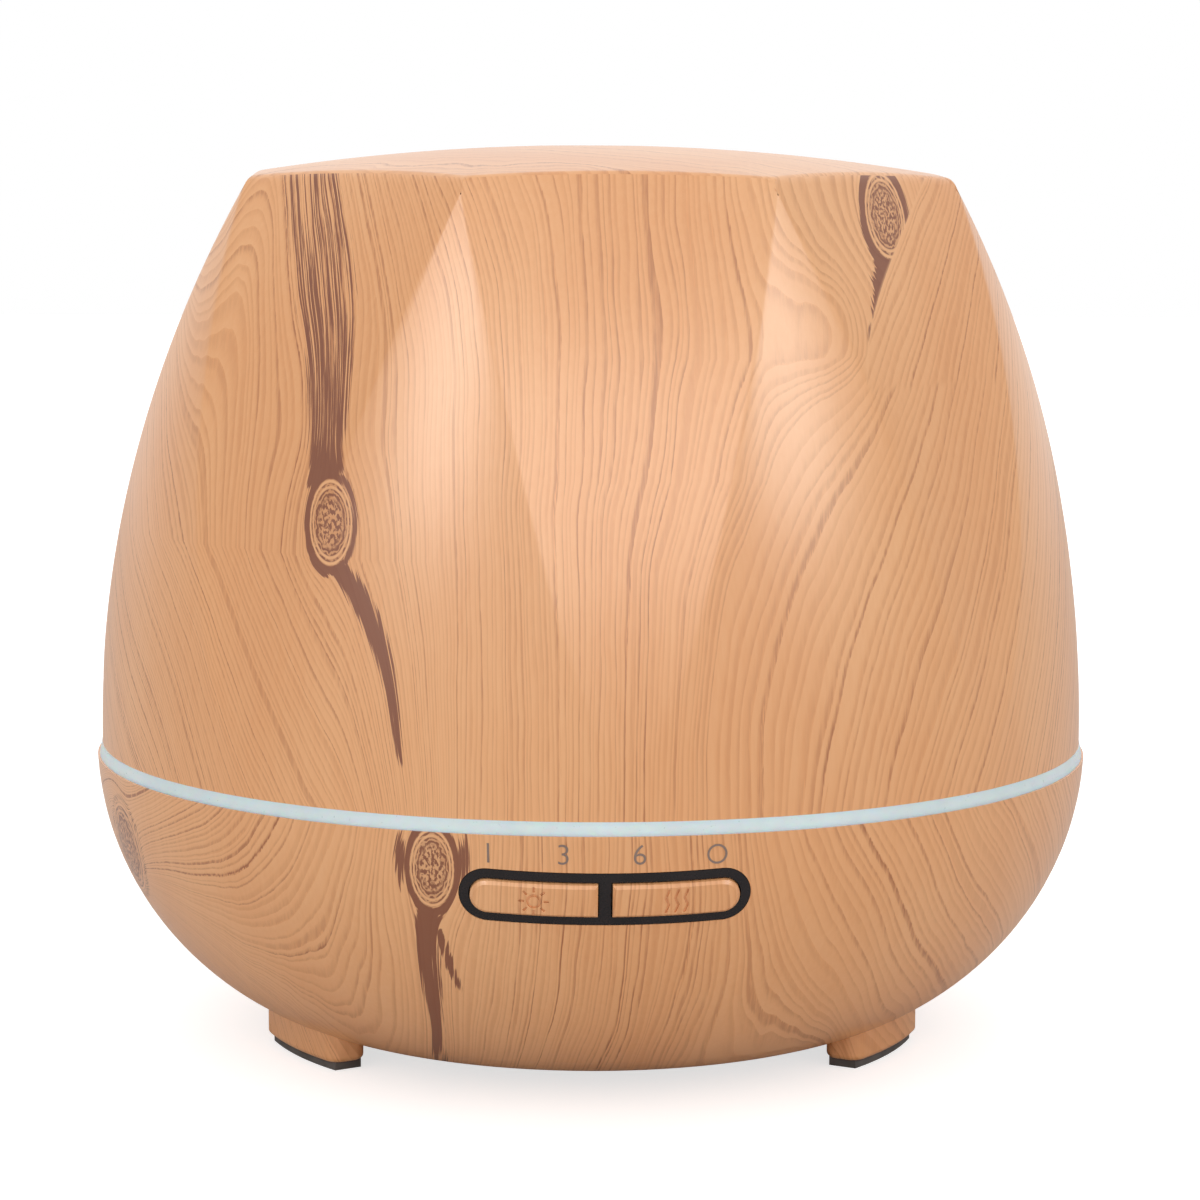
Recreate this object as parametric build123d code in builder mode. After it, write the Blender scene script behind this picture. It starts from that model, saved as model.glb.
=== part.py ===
from build123d import *
import os
from math import asin, atan2, cos, degrees, radians, sin, sqrt

# Ultrasonic essential oil diffuser. Millimetres, +Z up, origin under the middle of the foot pads.
# Azimuth 0 is the front (-Y), where the buttons are, and grows towards +X.

os.makedirs("parts", exist_ok=True)

# ---------------------------------------------------------------- driving dimensions
# Base bowl
base_radius = 84.5
bowl_top_z = 48.0
bowl_bottom_z = 2.0
bowl_arc_r = 50.2
bowl_arc_z = 50.4
bottom_arc_r = 37.0
shell_wall = 2.4

# Feet
foot_count = 3
foot_turn = 60.0
foot_block_r = 58.0
foot_block_depth = 7.0
foot_block_width = 25.0
foot_block_z = 1.4
foot_block_round = 2.7
pad_margin = 1.1
pad_recess = 0.6

# Translucent band and tank
band_height = 2.1
band_draft = 0.4
band_step = 0.4
tank_gap = 8.8
tank_wall = 2.2
tank_floor_z = 18.5
tank_rim_z = 62.0
spigot_height = 4.0
spigot_wall = 1.8
fit_gap = 0.3

# Upper cover
cover_step = 0.9
cover_wall = 2.4
side_arc_r = 217.4
side_arc_z = 50.8
facet_count = 8
facet_turn = 2.5
facet_arc_r = 196.0
facet_arc_z = 46.4
facet_lead = 0.24
rim_z = 145.0
dome_r = 360.0
rim_round = 0.8

# Mist outlet and splash guard
outlet_r = 7.5
outlet_wall = 2.1
outlet_length = 13.0
outlet_lip = 3.4
outlet_lip_height = 1.4
guard_wall = 1.6
guard_rim_r = 66.0
guard_rim_z = 56.5
guard_plate_r = 46.0
guard_plate_z = 100.0
guard_boss_ring_r = 36.0
guard_boss_r = 3.4
guard_screw_count = 4

# Button panel
panel_z = 38.2
panel_width = 43.6
panel_height = 8.4
bezel_band = 1.4
bezel_divider = 1.8
bezel_flange = 1.4
bezel_flange_depth = 1.0
button_gap = 0.2
button_proud = 1.0
button_bevel = 0.45
button_flange = 0.7
button_flange_depth = 0.8
button_flange_gap = 0.3
button_travel = 0.8
symbol_depth = 0.25

# Key board behind the buttons
key_board_depth = 9.0
key_board_size = (58.0, 7.8, 1.0)
key_screw_x = 25.6
key_boss_r = 2.3
switch_size = 6.0
switch_height = 2.2
plunger_r = 1.7
plunger_proud = 1.2
plunger_spare = 0.4
running_gap = 0.06

# Fan
fan_y = 31.0
fan_z = 7.3
fan_size = 35.0
fan_height = 10.0
fan_bore_r = 16.5
fan_hole_inset = 3.0
fan_plate_r = 7.2
fan_plate_height = 1.3
fan_sleeve_r = 2.6
fan_shaft_r = 0.75
fan_shaft_gap = 0.05
rotor_hub_r = 7.6
rotor_hub_wall = 1.1
rotor_tip_gap = 0.8
rotor_bottom_gap = 0.5
rotor_top_gap = 0.6
rotor_blades = 7
blade_pitch = 38.0
blade_thickness = 0.8
grille_slot = 2.0
grille_pitch = 4.0
grille_r = 16.0

# Air duct in the tank
duct_y = 36.0
duct_width = 34.0
duct_depth = 18.0
duct_wall = 1.8
duct_top_z = 66.0
duct_window = (22.0, 8.0)
duct_window_drop = 3.0

# Ultrasonic unit, in the middle of the tank floor
disc_r = 10.0
disc_height = 1.2
disc_well_r = 8.5
seal_r = 12.2
seal_lip_r = 8.0
seal_height = 2.4
seal_lip_height = 0.6
clamp_r = 13.0
clamp_ear_r = 2.7
clamp_height = 1.2
clamp_screw_ring_r = 14.9
clamp_screw_count = 3

# Float
float_x = -38.0
float_y = 22.0
float_r = 9.5
float_height = 9.0
float_post_r = 3.0
float_post_gap = 0.4
float_travel = 8.0
float_seat = 0.4
float_cap_r = 5.0
float_cap_height = 1.6
magnet_wall = 2.0
magnet_height = 2.0
sensor_size = (14.0, 4.0, 2.2)

# Screws
screw_shank_gap = 0.05
case_screw_r = 1.3
case_head_r = 2.1
case_head_height = 1.8
case_screw_length = 10.0
case_screw_ring_r = 54.5
case_post_r = 3.3
case_pillar_r = 4.2
case_pillar_z = 9.2
small_screw_r = 1.1
small_head_r = 2.0
small_head_height = 1.2

# Main board
board_y = -33.0
board_z = 9.8
board_size = (56.0, 32.0, 1.6)
board_hole_inset = 4.0
board_post_r = 2.6
sink_at = (-13.0, 6.0)
sink_base = (14.0, 2.0)
sink_height = 5.5
sink_fins = 5
sink_fin_pitch = 3.0
sink_fin = (1.0, 7.0)
transistor_at = (-13.0, -0.8)
transistor_size = (8.0, 3.2, 5.0)
coil_at = (14.0, 3.0)
coil_r = 5.0
coil_core_r = 4.0
coil_height = 6.0
coil_flange = 1.2
capacitors_at = ((1.0, 6.0), (4.0, -3.0))
capacitor_r = 2.5
capacitor_height = 6.0
capacitor_round = 0.4
chip_at = (-3.0, -9.0)
chip_size = (10.0, 4.0, 1.4)
chip_lift = 0.2
chip_legs = 7
chip_leg_pitch = 1.27
chip_leg = (0.5, 6.0, 0.4)
sockets_at = ((8.0, -11.0), (17.0, -11.0), (-14.5, -11.0))
socket_size = (6.5, 4.5, 5.0)
socket_wall = 0.75
socket_floor = 1.0

# Light boards
light_x = 44.0
light_z = 14.0
light_board_size = (10.0, 32.0, 1.2)
light_hole_y = 12.5
light_count = 3
light_pitch = 7.0
light_size = (5.0, 5.0, 1.6)

# Power inlet
inlet_azimuth = 135.0
inlet_z = 11.4
inlet_face_r = 56.0
inlet_pocket = (13.0, 11.4)
inlet_pocket_z = 4.8
inlet_wall = 1.6
jack_size = (9.0, 7.8, 13.0)
jack_nose_r = 4.0
jack_bore_r = 3.1
jack_bore_depth = 9.5
jack_pin_r = 1.0

# ---------------------------------------------------------------- derived sizes
side_centre = (base_radius - bowl_arc_r, bowl_arc_z)
arc_shift = bowl_arc_r - bottom_arc_r
low_centre_z = bowl_bottom_z + bottom_arc_r
bottom_flat_r = side_centre[0] + sqrt(arc_shift**2 - (bowl_arc_z - low_centre_z) ** 2)
low_centre = (bottom_flat_r, low_centre_z)
blend_angle = degrees(atan2(low_centre_z - bowl_arc_z, bottom_flat_r - side_centre[0]))

seam_z = bowl_top_z + band_height
cover_radius = base_radius - cover_step
facet_dist = cover_radius + facet_lead
rim_r = cover_radius - side_arc_r + sqrt(side_arc_r**2 - (rim_z - side_arc_z) ** 2)
dome_centre_z = rim_z - sqrt(dome_r**2 - rim_r**2)
dome_top_z = dome_centre_z + dome_r
dome_inner_z = dome_top_z - cover_wall

tank_arc_r = bowl_arc_r - shell_wall - tank_gap
tank_side_r = side_centre[0] + tank_arc_r
tank_floor_top_z = tank_floor_z + tank_wall
spigot_r = cover_radius - cover_wall - fit_gap

panel_sine = (bowl_arc_z - panel_z) / bowl_arc_r
panel_cosine = sqrt(1 - panel_sine**2)
panel_r = side_centre[0] + bowl_arc_r * panel_cosine
panel_plane = Plane(
    origin=(0, -panel_r, panel_z), x_dir=(1, 0, 0), z_dir=(0, -panel_cosine, -panel_sine)
)
panel_axis = Axis((0, -panel_r, panel_z), (0, -panel_cosine, -panel_sine))
button_x = (panel_width - 2 * bezel_band + bezel_divider) / 4
bezel_back = shell_wall + fit_gap / 3 + bezel_flange_depth
button_flange_front = bezel_back + button_flange_gap
button_back = button_flange_front + button_flange_depth
plunger_top = key_board_depth - switch_height - plunger_proud

fan_top_z = fan_z + fan_height
outlet_tube_r = outlet_r + outlet_wall
outlet_lip_z = dome_inner_z - 1.0 - outlet_lip_height
chimney_r = outlet_tube_r + outlet_lip / 2 + guard_wall / 2
front_cut = 20.0


# ---------------------------------------------------------------- helpers
def azimuth_plane(azimuth):
    """Upright plane through the axis: x runs outwards at the azimuth, y runs up."""
    turn = radians(azimuth)
    return Plane(
        origin=(0, 0, 0), x_dir=(sin(turn), -cos(turn), 0), z_dir=(-cos(turn), -sin(turn), 0)
    )


def polar(radius, azimuth):
    """Plan position at a radius and azimuth."""
    turn = radians(azimuth)
    return (radius * sin(turn), -radius * cos(turn))


def bowl_form(inset, top_z):
    """Solid bowl whose skin lies a given inset inside the base's outer skin."""
    side_r = bowl_arc_r - inset
    top_angle = degrees(asin((top_z - bowl_arc_z) / side_r))
    with BuildPart() as form:
        with BuildSketch(Plane.XZ):
            with BuildLine():
                low_arc = CenterArc(low_centre, bottom_arc_r - inset, -90, 90 + blend_angle)
                side_arc = CenterArc(side_centre, side_r, blend_angle, top_angle - blend_angle)
                Polyline(side_arc @ 1, (0, top_z), (0, bowl_bottom_z + inset), low_arc @ 0)
            make_face()
        revolve(axis=Axis.Z)
    return form.part


def cover_form(inset, low_z, edge_round):
    """Solid faceted dome whose skin lies a given inset inside the cover's outer skin."""
    high_z = rim_z + 4 * cover_wall
    side_r = side_arc_r - inset
    facet_r = facet_arc_r - inset
    side_low = degrees(asin((low_z - side_arc_z) / side_r))
    side_high = degrees(asin((high_z - side_arc_z) / side_r))
    facet_low = degrees(asin((low_z - facet_arc_z) / facet_r))
    facet_high = degrees(asin((high_z - facet_arc_z) / facet_r))
    with BuildPart() as form:
        with BuildSketch(Plane.XZ):
            with BuildLine():
                side = CenterArc(
                    (cover_radius - side_arc_r, side_arc_z), side_r, side_low, side_high - side_low
                )
                Polyline(side @ 1, (0, high_z), (0, low_z), side @ 0)
            make_face()
        revolve(axis=Axis.Z)
        with Locations((0, 0, dome_centre_z)):
            Sphere(dome_r - inset, mode=Mode.INTERSECT)
        for number in range(facet_count):
            with BuildSketch(azimuth_plane(facet_turn + number * 360 / facet_count)):
                with BuildLine():
                    facet = CenterArc(
                        (facet_dist - facet_arc_r, facet_arc_z),
                        facet_r,
                        facet_low,
                        facet_high - facet_low,
                    )
                    outside = 1.2 * base_radius
                    Polyline(facet @ 1, (outside, high_z), (outside, low_z), facet @ 0)
                make_face()
            extrude(amount=base_radius, both=True, mode=Mode.SUBTRACT)
        if edge_round > 0:
            fillet(form.faces().filter_by(GeomType.SPHERE).edges(), edge_round)
    return form.part


def sector(inner_r, outer_r, width, azimuth, low_z, high_z, corner_round):
    """Block between two radii, with parallel sides a given width apart."""
    with BuildPart() as block:
        with BuildSketch(Plane.XY.offset(low_z)):
            Circle(outer_r)
            Circle(inner_r, mode=Mode.SUBTRACT)
            with Locations(Location((0, 0), azimuth - 90)):
                Rectangle(
                    2 * outer_r, width, align=(Align.MIN, Align.CENTER), mode=Mode.INTERSECT
                )
        extrude(amount=high_z - low_z)
        if corner_round > 0:
            fillet(block.edges().filter_by(Axis.Z), corner_round)
            fillet(block.faces().sort_by(Axis.Z)[0].edges(), corner_round / 3)
    return block.part


def screw_set(planes, shank_r, head_r, head_height, length):
    """Cross-head screws with their heads standing on the given planes."""
    with BuildPart() as screws:
        for plane in planes:
            with BuildSketch(plane):
                Circle(head_r)
            extrude(amount=head_height)
            with BuildSketch(plane):
                Circle(shank_r)
            extrude(amount=-length)
            with BuildSketch(plane.offset(head_height)):
                Rectangle(1.2 * head_r, 0.25 * head_r)
                Rectangle(0.25 * head_r, 1.2 * head_r)
            extrude(amount=-head_height / 2, mode=Mode.SUBTRACT)
    return screws.part


def save(piece, name):
    """Label a piece and write its file."""
    piece.label = name
    export_step(piece, f"parts/{name}.step")


# ---------------------------------------------------------------- base shell and feet
foot_azimuths = [foot_turn + number * 360 / foot_count for number in range(foot_count)]
case_points = [polar(case_screw_ring_r, azimuth) for azimuth in foot_azimuths]
board_x = board_size[0] / 2 - board_hole_inset
board_dy = board_size[1] / 2 - board_hole_inset
board_points = [(x, board_y + y) for x in (-board_x, board_x) for y in (-board_dy, board_dy)]
light_points = [(x, y) for x in (-light_x, light_x) for y in (-light_hole_y, light_hole_y)]
fan_dx = fan_size / 2 - fan_hole_inset
fan_points = [(x, fan_y + y) for x in (-fan_dx, fan_dx) for y in (-fan_dx, fan_dx)]
key_back_plane = panel_plane.offset(-key_board_depth - key_board_size[2])
key_front_plane = panel_plane.offset(-key_board_depth)

bowl_outer = bowl_form(0, bowl_top_z)
bowl_inner = bowl_form(shell_wall, bowl_top_z)
foot_blocks = [
    sector(
        foot_block_r - foot_block_depth,
        foot_block_r,
        foot_block_width,
        azimuth,
        foot_block_z,
        case_pillar_z + 1,
        foot_block_round,
    )
    for azimuth in foot_azimuths
]

inlet_plane = azimuth_plane(inlet_azimuth)
pocket_length = base_radius - inlet_face_r
with BuildPart() as pocket_block:
    with BuildSketch(inlet_plane):
        with Locations((inlet_face_r - inlet_wall, inlet_pocket_z - inlet_wall)):
            Rectangle(
                pocket_length,
                inlet_pocket[1] + 2 * inlet_wall,
                align=(Align.MIN, Align.MIN),
            )
    extrude(amount=inlet_pocket[0] / 2 + inlet_wall, both=True)
    add(bowl_outer, mode=Mode.INTERSECT)

with BuildPart() as inner_posts:
    for point in case_points:
        with BuildSketch():
            with Locations(point):
                Circle(case_pillar_r)
        extrude(amount=case_pillar_z)
    with BuildSketch():
        with Locations(*board_points):
            Circle(board_post_r)
    extrude(amount=board_z)
    with BuildSketch():
        with Locations(*light_points):
            Circle(board_post_r)
    extrude(amount=light_z)
    with BuildSketch():
        with Locations(*fan_points):
            Circle(board_post_r)
    extrude(amount=fan_z)
    with BuildSketch(key_front_plane):
        with Locations((-key_screw_x, 0), (key_screw_x, 0)):
            Circle(key_boss_r)
    extrude(amount=key_board_depth)
    add(bowl_outer, mode=Mode.INTERSECT)

with BuildPart() as base_shell:
    add(bowl_outer)
    for block in foot_blocks:
        add(block)
    add(bowl_inner, mode=Mode.SUBTRACT)
    add(pocket_block.part)
    add(inner_posts.part)
    # Plug pocket and jack hole at the rear
    with BuildSketch(inlet_plane):
        with Locations((inlet_face_r, inlet_pocket_z)):
            Rectangle(pocket_length, inlet_pocket[1], align=(Align.MIN, Align.MIN))
    extrude(amount=inlet_pocket[0] / 2, both=True, mode=Mode.SUBTRACT)
    inlet_face = Plane(
        origin=(*polar(inlet_face_r, inlet_azimuth), inlet_z),
        x_dir=inlet_plane.z_dir,
        z_dir=inlet_plane.x_dir,
    )
    with BuildSketch(inlet_face):
        Circle(jack_nose_r + screw_shank_gap)
    extrude(amount=-2 * inlet_wall, mode=Mode.SUBTRACT)
    # Opening for the button bezel
    with BuildSketch(panel_plane.offset(-bowl_arc_r / 4)):
        SlotOverall(panel_width + button_gap, panel_height + button_gap)
    extrude(amount=bowl_arc_r / 2, mode=Mode.SUBTRACT)
    # Air inlet slots under the fan
    slot_count = int(grille_r / grille_pitch)
    with BuildSketch(Plane.XY):
        for row in range(1 - slot_count, slot_count):
            offset_x = row * grille_pitch
            reach = sqrt(grille_r**2 - offset_x**2)
            with Locations((offset_x, fan_y)):
                SlotOverall(2 * reach, grille_slot, rotation=90)
    extrude(amount=fan_z - fit_gap, mode=Mode.SUBTRACT)
    # Pad recesses and screw holes
    for azimuth in foot_azimuths:
        with BuildSketch(Plane.XY):
            Circle(foot_block_r - pad_margin)
            Circle(foot_block_r - foot_block_depth + pad_margin, mode=Mode.SUBTRACT)
            with Locations(Location((0, 0), azimuth - 90)):
                Rectangle(
                    2 * foot_block_r,
                    foot_block_width - 2 * pad_margin,
                    align=(Align.MIN, Align.CENTER),
                    mode=Mode.INTERSECT,
                )
        extrude(amount=foot_block_z + pad_recess, mode=Mode.SUBTRACT)
    with BuildSketch(Plane.XY):
        with Locations(*case_points):
            Circle(case_head_r + fit_gap)
    extrude(amount=foot_block_z + pad_recess + case_head_height + fit_gap, mode=Mode.SUBTRACT)
    with BuildSketch(Plane.XY):
        with Locations(*case_points):
            Circle(case_screw_r + screw_shank_gap)
    extrude(amount=case_pillar_z, mode=Mode.SUBTRACT)
    small_holes = board_points + light_points + fan_points
    with BuildSketch(Plane.XY.offset(bowl_bottom_z + shell_wall)):
        with Locations(*small_holes):
            Circle(small_screw_r + screw_shank_gap)
    extrude(amount=light_z, mode=Mode.SUBTRACT)
    with BuildSketch(key_front_plane):
        with Locations((-key_screw_x, 0), (key_screw_x, 0)):
            Circle(small_screw_r + screw_shank_gap)
    extrude(amount=2 * small_head_height, mode=Mode.SUBTRACT)
save(base_shell.part, "base_shell")

pad_top_z = foot_block_z + pad_recess
for number, azimuth in enumerate(foot_azimuths):
    pad = sector(
        foot_block_r - foot_block_depth + pad_margin + fit_gap / 3,
        foot_block_r - pad_margin - fit_gap / 3,
        foot_block_width - 2 * pad_margin - fit_gap,
        azimuth,
        0,
        pad_top_z,
        0,
    )
    save(pad, f"foot_pad_{number + 1}")

case_planes = [
    Plane(origin=(x, y, pad_top_z + case_head_height + fit_gap), x_dir=(1, 0, 0), z_dir=(0, 0, -1))
    for x, y in case_points
]
case_screws = screw_set(
    case_planes, case_screw_r, case_head_r, case_head_height, case_screw_length
)
save(case_screws, "case_screws")

# ---------------------------------------------------------------- water tank with the light band
with BuildPart() as water_tank:
    floor_angle = degrees(asin((tank_floor_z - bowl_arc_z) / tank_arc_r))
    inner_arc_r = tank_arc_r - tank_wall
    inner_angle = degrees(asin((tank_floor_top_z - bowl_arc_z) / inner_arc_r))
    with BuildSketch(Plane.XZ):
        with BuildLine():
            outer_arc = CenterArc(side_centre, tank_arc_r, floor_angle, -floor_angle)
            rim_line = Polyline(
                outer_arc @ 1,
                (tank_side_r, tank_rim_z),
                (tank_side_r - tank_wall, tank_rim_z),
                (tank_side_r - tank_wall, bowl_arc_z),
            )
            inner_arc = CenterArc(side_centre, inner_arc_r, inner_angle, -inner_angle)
            Polyline(inner_arc @ 0, (0, tank_floor_top_z), (0, tank_floor_z), outer_arc @ 0)
        make_face()
    revolve(axis=Axis.Z)
    # Flange whose edge is the visible band, and the ring that centres the cover
    with BuildSketch(Plane.XZ):
        Polygon(
            (tank_side_r - tank_wall / 2, bowl_top_z),
            (base_radius - band_step, bowl_top_z),
            (base_radius - band_step - band_draft, seam_z),
            (tank_side_r - tank_wall / 2, seam_z),
            align=None,
        )
        with Locations((spigot_r - spigot_wall, seam_z - band_height / 2)):
            Rectangle(
                spigot_wall, spigot_height + band_height / 2, align=(Align.MIN, Align.MIN)
            )
    revolve(axis=Axis.Z)
    # Air duct tower with a roof and a window towards the middle
    with BuildSketch(Plane.XY.offset(tank_floor_z)):
        with Locations((0, duct_y)):
            SlotOverall(duct_width, duct_depth)
    extrude(amount=duct_top_z - tank_floor_z)
    with BuildSketch(Plane.XY.offset(tank_floor_z)):
        with Locations((0, duct_y)):
            SlotOverall(duct_width - 2 * duct_wall, duct_depth - 2 * duct_wall)
    extrude(amount=duct_top_z - duct_wall - tank_floor_z, mode=Mode.SUBTRACT)
    window_z = duct_top_z - duct_window_drop - duct_window[1] / 2
    with BuildSketch(Plane((0, duct_y, window_z), x_dir=(1, 0, 0), z_dir=(0, -1, 0))):
        RectangleRounded(*duct_window, 1.5)
    extrude(amount=duct_depth, mode=Mode.SUBTRACT)
    # Float post, with a low seat that keeps the float off the floor
    with BuildSketch(Plane.XY.offset(tank_floor_top_z)):
        with Locations((float_x, float_y)):
            Circle(float_post_r)
    float_top_z = tank_floor_top_z + float_seat + float_height + float_travel
    extrude(amount=float_top_z - tank_floor_top_z)
    with BuildSketch(Plane.XY.offset(tank_floor_top_z)):
        with Locations((float_x, float_y)):
            Circle(float_post_r + float_post_gap + magnet_wall)
    extrude(amount=float_seat)
    # Screw posts on the underside
    with BuildSketch(Plane.XY.offset(case_pillar_z)):
        with Locations(*case_points):
            Circle(case_post_r)
    extrude(amount=tank_floor_z - case_pillar_z)
    clamp_points = [
        polar(clamp_screw_ring_r, number * 360 / clamp_screw_count)
        for number in range(clamp_screw_count)
    ]
    with BuildSketch(Plane.XY.offset(tank_floor_z - seal_height)):
        with Locations(*clamp_points):
            Circle(2 * small_screw_r)
    extrude(amount=seal_height)
    with BuildSketch(Plane.XY.offset(tank_floor_z - seal_height)):
        with Locations(*clamp_points):
            Circle(small_screw_r + screw_shank_gap)
    extrude(amount=seal_height + tank_wall / 2, mode=Mode.SUBTRACT)
    with BuildSketch(Plane.XY.offset(case_pillar_z)):
        with Locations(*case_points):
            Circle(case_screw_r + screw_shank_gap)
    extrude(amount=tank_floor_z - case_pillar_z, mode=Mode.SUBTRACT)
    # Well above the ultrasonic disc
    with BuildSketch(Plane.XY.offset(tank_floor_z)):
        Circle(disc_well_r)
    extrude(amount=tank_wall, mode=Mode.SUBTRACT)
    well_edges = water_tank.edges().filter_by(GeomType.CIRCLE)
    fillet(
        [edge for edge in well_edges if abs(edge.center().Z - tank_floor_top_z) < 0.01
         and abs(edge.radius - disc_well_r) < 0.01],
        tank_wall / 2,
    )
save(water_tank.part, "water_tank")

# ---------------------------------------------------------------- float and level sensor
float_low_z = tank_floor_top_z + float_seat
with BuildPart() as level_float:
    with BuildSketch(Plane.XY.offset(float_low_z)):
        with Locations((float_x, float_y)):
            Circle(float_r)
            Circle(float_post_r + float_post_gap, mode=Mode.SUBTRACT)
    extrude(amount=float_height)
    fillet(level_float.edges().filter_by(GeomType.CIRCLE).sort_by(Axis.Z)[-1], 0.5)
    with BuildSketch(Plane.XY.offset(float_low_z)):
        with Locations((float_x, float_y)):
            Circle(float_post_r + float_post_gap + magnet_wall)
    extrude(amount=magnet_height, mode=Mode.SUBTRACT)
save(level_float.part, "level_float")

with BuildPart() as float_magnet:
    with BuildSketch(Plane.XY.offset(float_low_z)):
        with Locations((float_x, float_y)):
            Circle(float_post_r + float_post_gap + magnet_wall)
            Circle(float_post_r + float_post_gap, mode=Mode.SUBTRACT)
    extrude(amount=magnet_height)
save(float_magnet.part, "float_magnet")

with BuildPart() as float_cap:
    with BuildSketch(Plane.XY.offset(float_top_z)):
        with Locations((float_x, float_y)):
            Circle(float_cap_r)
    extrude(amount=float_cap_height)
    fillet(float_cap.faces().sort_by(Axis.Z)[-1].edges(), float_cap_height / 3)
save(float_cap.part, "float_cap")

with BuildPart() as level_sensor:
    with BuildSketch(Plane.XY.offset(tank_floor_z - sensor_size[2])):
        with Locations((float_x, float_y)):
            RectangleRounded(sensor_size[0], sensor_size[1], 0.8)
    extrude(amount=sensor_size[2])
save(level_sensor.part, "level_sensor")

# ---------------------------------------------------------------- ultrasonic unit
seal_low_z = tank_floor_z - seal_height
with BuildPart() as disc_seal:
    with BuildSketch(Plane.XZ):
        with Locations((seal_lip_r, seal_low_z)):
            Rectangle(seal_r - seal_lip_r, seal_height, align=(Align.MIN, Align.MIN))
        with Locations((seal_lip_r, seal_low_z + seal_lip_height)):
            Rectangle(
                disc_r - seal_lip_r,
                disc_height,
                align=(Align.MIN, Align.MIN),
                mode=Mode.SUBTRACT,
            )
    revolve(axis=Axis.Z)
save(disc_seal.part, "disc_seal")

with BuildPart() as ultrasonic_disc:
    with BuildSketch(Plane.XY.offset(seal_low_z + seal_lip_height)):
        Circle(disc_r)
    extrude(amount=disc_height)
save(ultrasonic_disc.part, "ultrasonic_disc")

clamp_low_z = seal_low_z - clamp_height
with BuildPart() as disc_clamp:
    with BuildSketch(Plane.XY.offset(clamp_low_z)):
        Circle(clamp_r)
        with Locations(*clamp_points):
            Circle(clamp_ear_r)
            Circle(small_screw_r + screw_shank_gap, mode=Mode.SUBTRACT)
        Circle(seal_lip_r, mode=Mode.SUBTRACT)
    extrude(amount=clamp_height)
save(disc_clamp.part, "disc_clamp")

clamp_planes = [
    Plane(origin=(x, y, clamp_low_z), x_dir=(1, 0, 0), z_dir=(0, 0, -1)) for x, y in clamp_points
]
clamp_screws = screw_set(
    clamp_planes, small_screw_r, small_head_r, small_head_height, clamp_height + seal_height
)
save(clamp_screws, "clamp_screws")

# ---------------------------------------------------------------- fan
with BuildPart() as fan_frame:
    with BuildSketch(Plane.XY.offset(fan_z)):
        with Locations((0, fan_y)):
            RectangleRounded(fan_size, fan_size, 2.5)
            Circle(fan_bore_r, mode=Mode.SUBTRACT)
    extrude(amount=fan_height)
    with BuildSketch(Plane.XY.offset(fan_z)):
        with Locations((0, fan_y)):
            Circle(fan_plate_r)
            Rectangle(fan_size - 1, 1.8, rotation=45)
            Rectangle(fan_size - 1, 1.8, rotation=-45)
    extrude(amount=fan_plate_height)
    with BuildSketch(Plane.XY.offset(fan_z)):
        with Locations((0, fan_y)):
            Circle(fan_sleeve_r)
    sleeve_height = fan_height - rotor_top_gap - rotor_hub_wall - rotor_bottom_gap
    extrude(amount=sleeve_height)
    with BuildSketch(Plane.XY.offset(fan_z)):
        with Locations(*fan_points):
            Circle(small_screw_r + screw_shank_gap)
    extrude(amount=fan_height, mode=Mode.SUBTRACT)
    with BuildSketch(Plane.XY.offset(fan_z + fan_plate_height)):
        with Locations((0, fan_y)):
            Circle(fan_shaft_r + fan_shaft_gap)
    extrude(amount=fan_height, mode=Mode.SUBTRACT)
save(fan_frame.part, "fan_frame")

rotor_low_z = fan_z + fan_plate_height + rotor_bottom_gap
rotor_top_z = fan_top_z - rotor_top_gap
with BuildPart() as fan_rotor:
    with BuildSketch(Plane.XY.offset(rotor_low_z)):
        with Locations((0, fan_y)):
            Circle(rotor_hub_r)
    extrude(amount=rotor_top_z - rotor_low_z)
    blade_height = rotor_top_z - rotor_low_z
    blade_chord = blade_height / sin(radians(blade_pitch)) * 0.9
    for number in range(rotor_blades):
        turn = radians(number * 360 / rotor_blades)
        blade_plane = Plane(
            origin=(0, fan_y, (rotor_low_z + rotor_top_z) / 2),
            x_dir=(-sin(turn), cos(turn), 0),
            z_dir=(cos(turn), sin(turn), 0),
        )
        with BuildSketch(blade_plane):
            Rectangle(blade_chord, blade_thickness, rotation=blade_pitch)
        extrude(amount=fan_bore_r - rotor_tip_gap)
    with BuildSketch(Plane.XY.offset(rotor_low_z)):
        with Locations((0, fan_y)):
            Circle(fan_bore_r - rotor_tip_gap)
    extrude(amount=blade_height, mode=Mode.INTERSECT)
    with BuildSketch(Plane.XY.offset(rotor_low_z)):
        with Locations((0, fan_y)):
            Circle(rotor_hub_r - rotor_hub_wall)
    extrude(amount=blade_height - rotor_hub_wall, mode=Mode.SUBTRACT)
save(fan_rotor.part, "fan_rotor")

with BuildPart() as fan_shaft:
    with BuildSketch(Plane.XY.offset(rotor_top_z - rotor_hub_wall)):
        with Locations((0, fan_y)):
            Circle(fan_shaft_r)
    extrude(amount=-(rotor_top_z - rotor_hub_wall - rotor_low_z))
save(fan_shaft.part, "fan_shaft")

with BuildPart() as fan_gasket:
    with BuildSketch(Plane.XY.offset(fan_top_z)):
        with Locations((0, fan_y)):
            RectangleRounded(fan_size, fan_size, 2.5)
            Circle(fan_bore_r, mode=Mode.SUBTRACT)
        with Locations(*fan_points):
            Circle(small_head_r + fit_gap, mode=Mode.SUBTRACT)
    extrude(amount=tank_floor_z - fan_top_z)
save(fan_gasket.part, "fan_gasket")

fan_planes = [Plane.XY.offset(fan_top_z).move(Location((x, y, 0))) for x, y in fan_points]
fan_screws = screw_set(
    fan_planes, small_screw_r, small_head_r, tank_floor_z - fan_top_z - fit_gap, fan_height + 1.2
)
save(fan_screws, "fan_screws")

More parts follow.
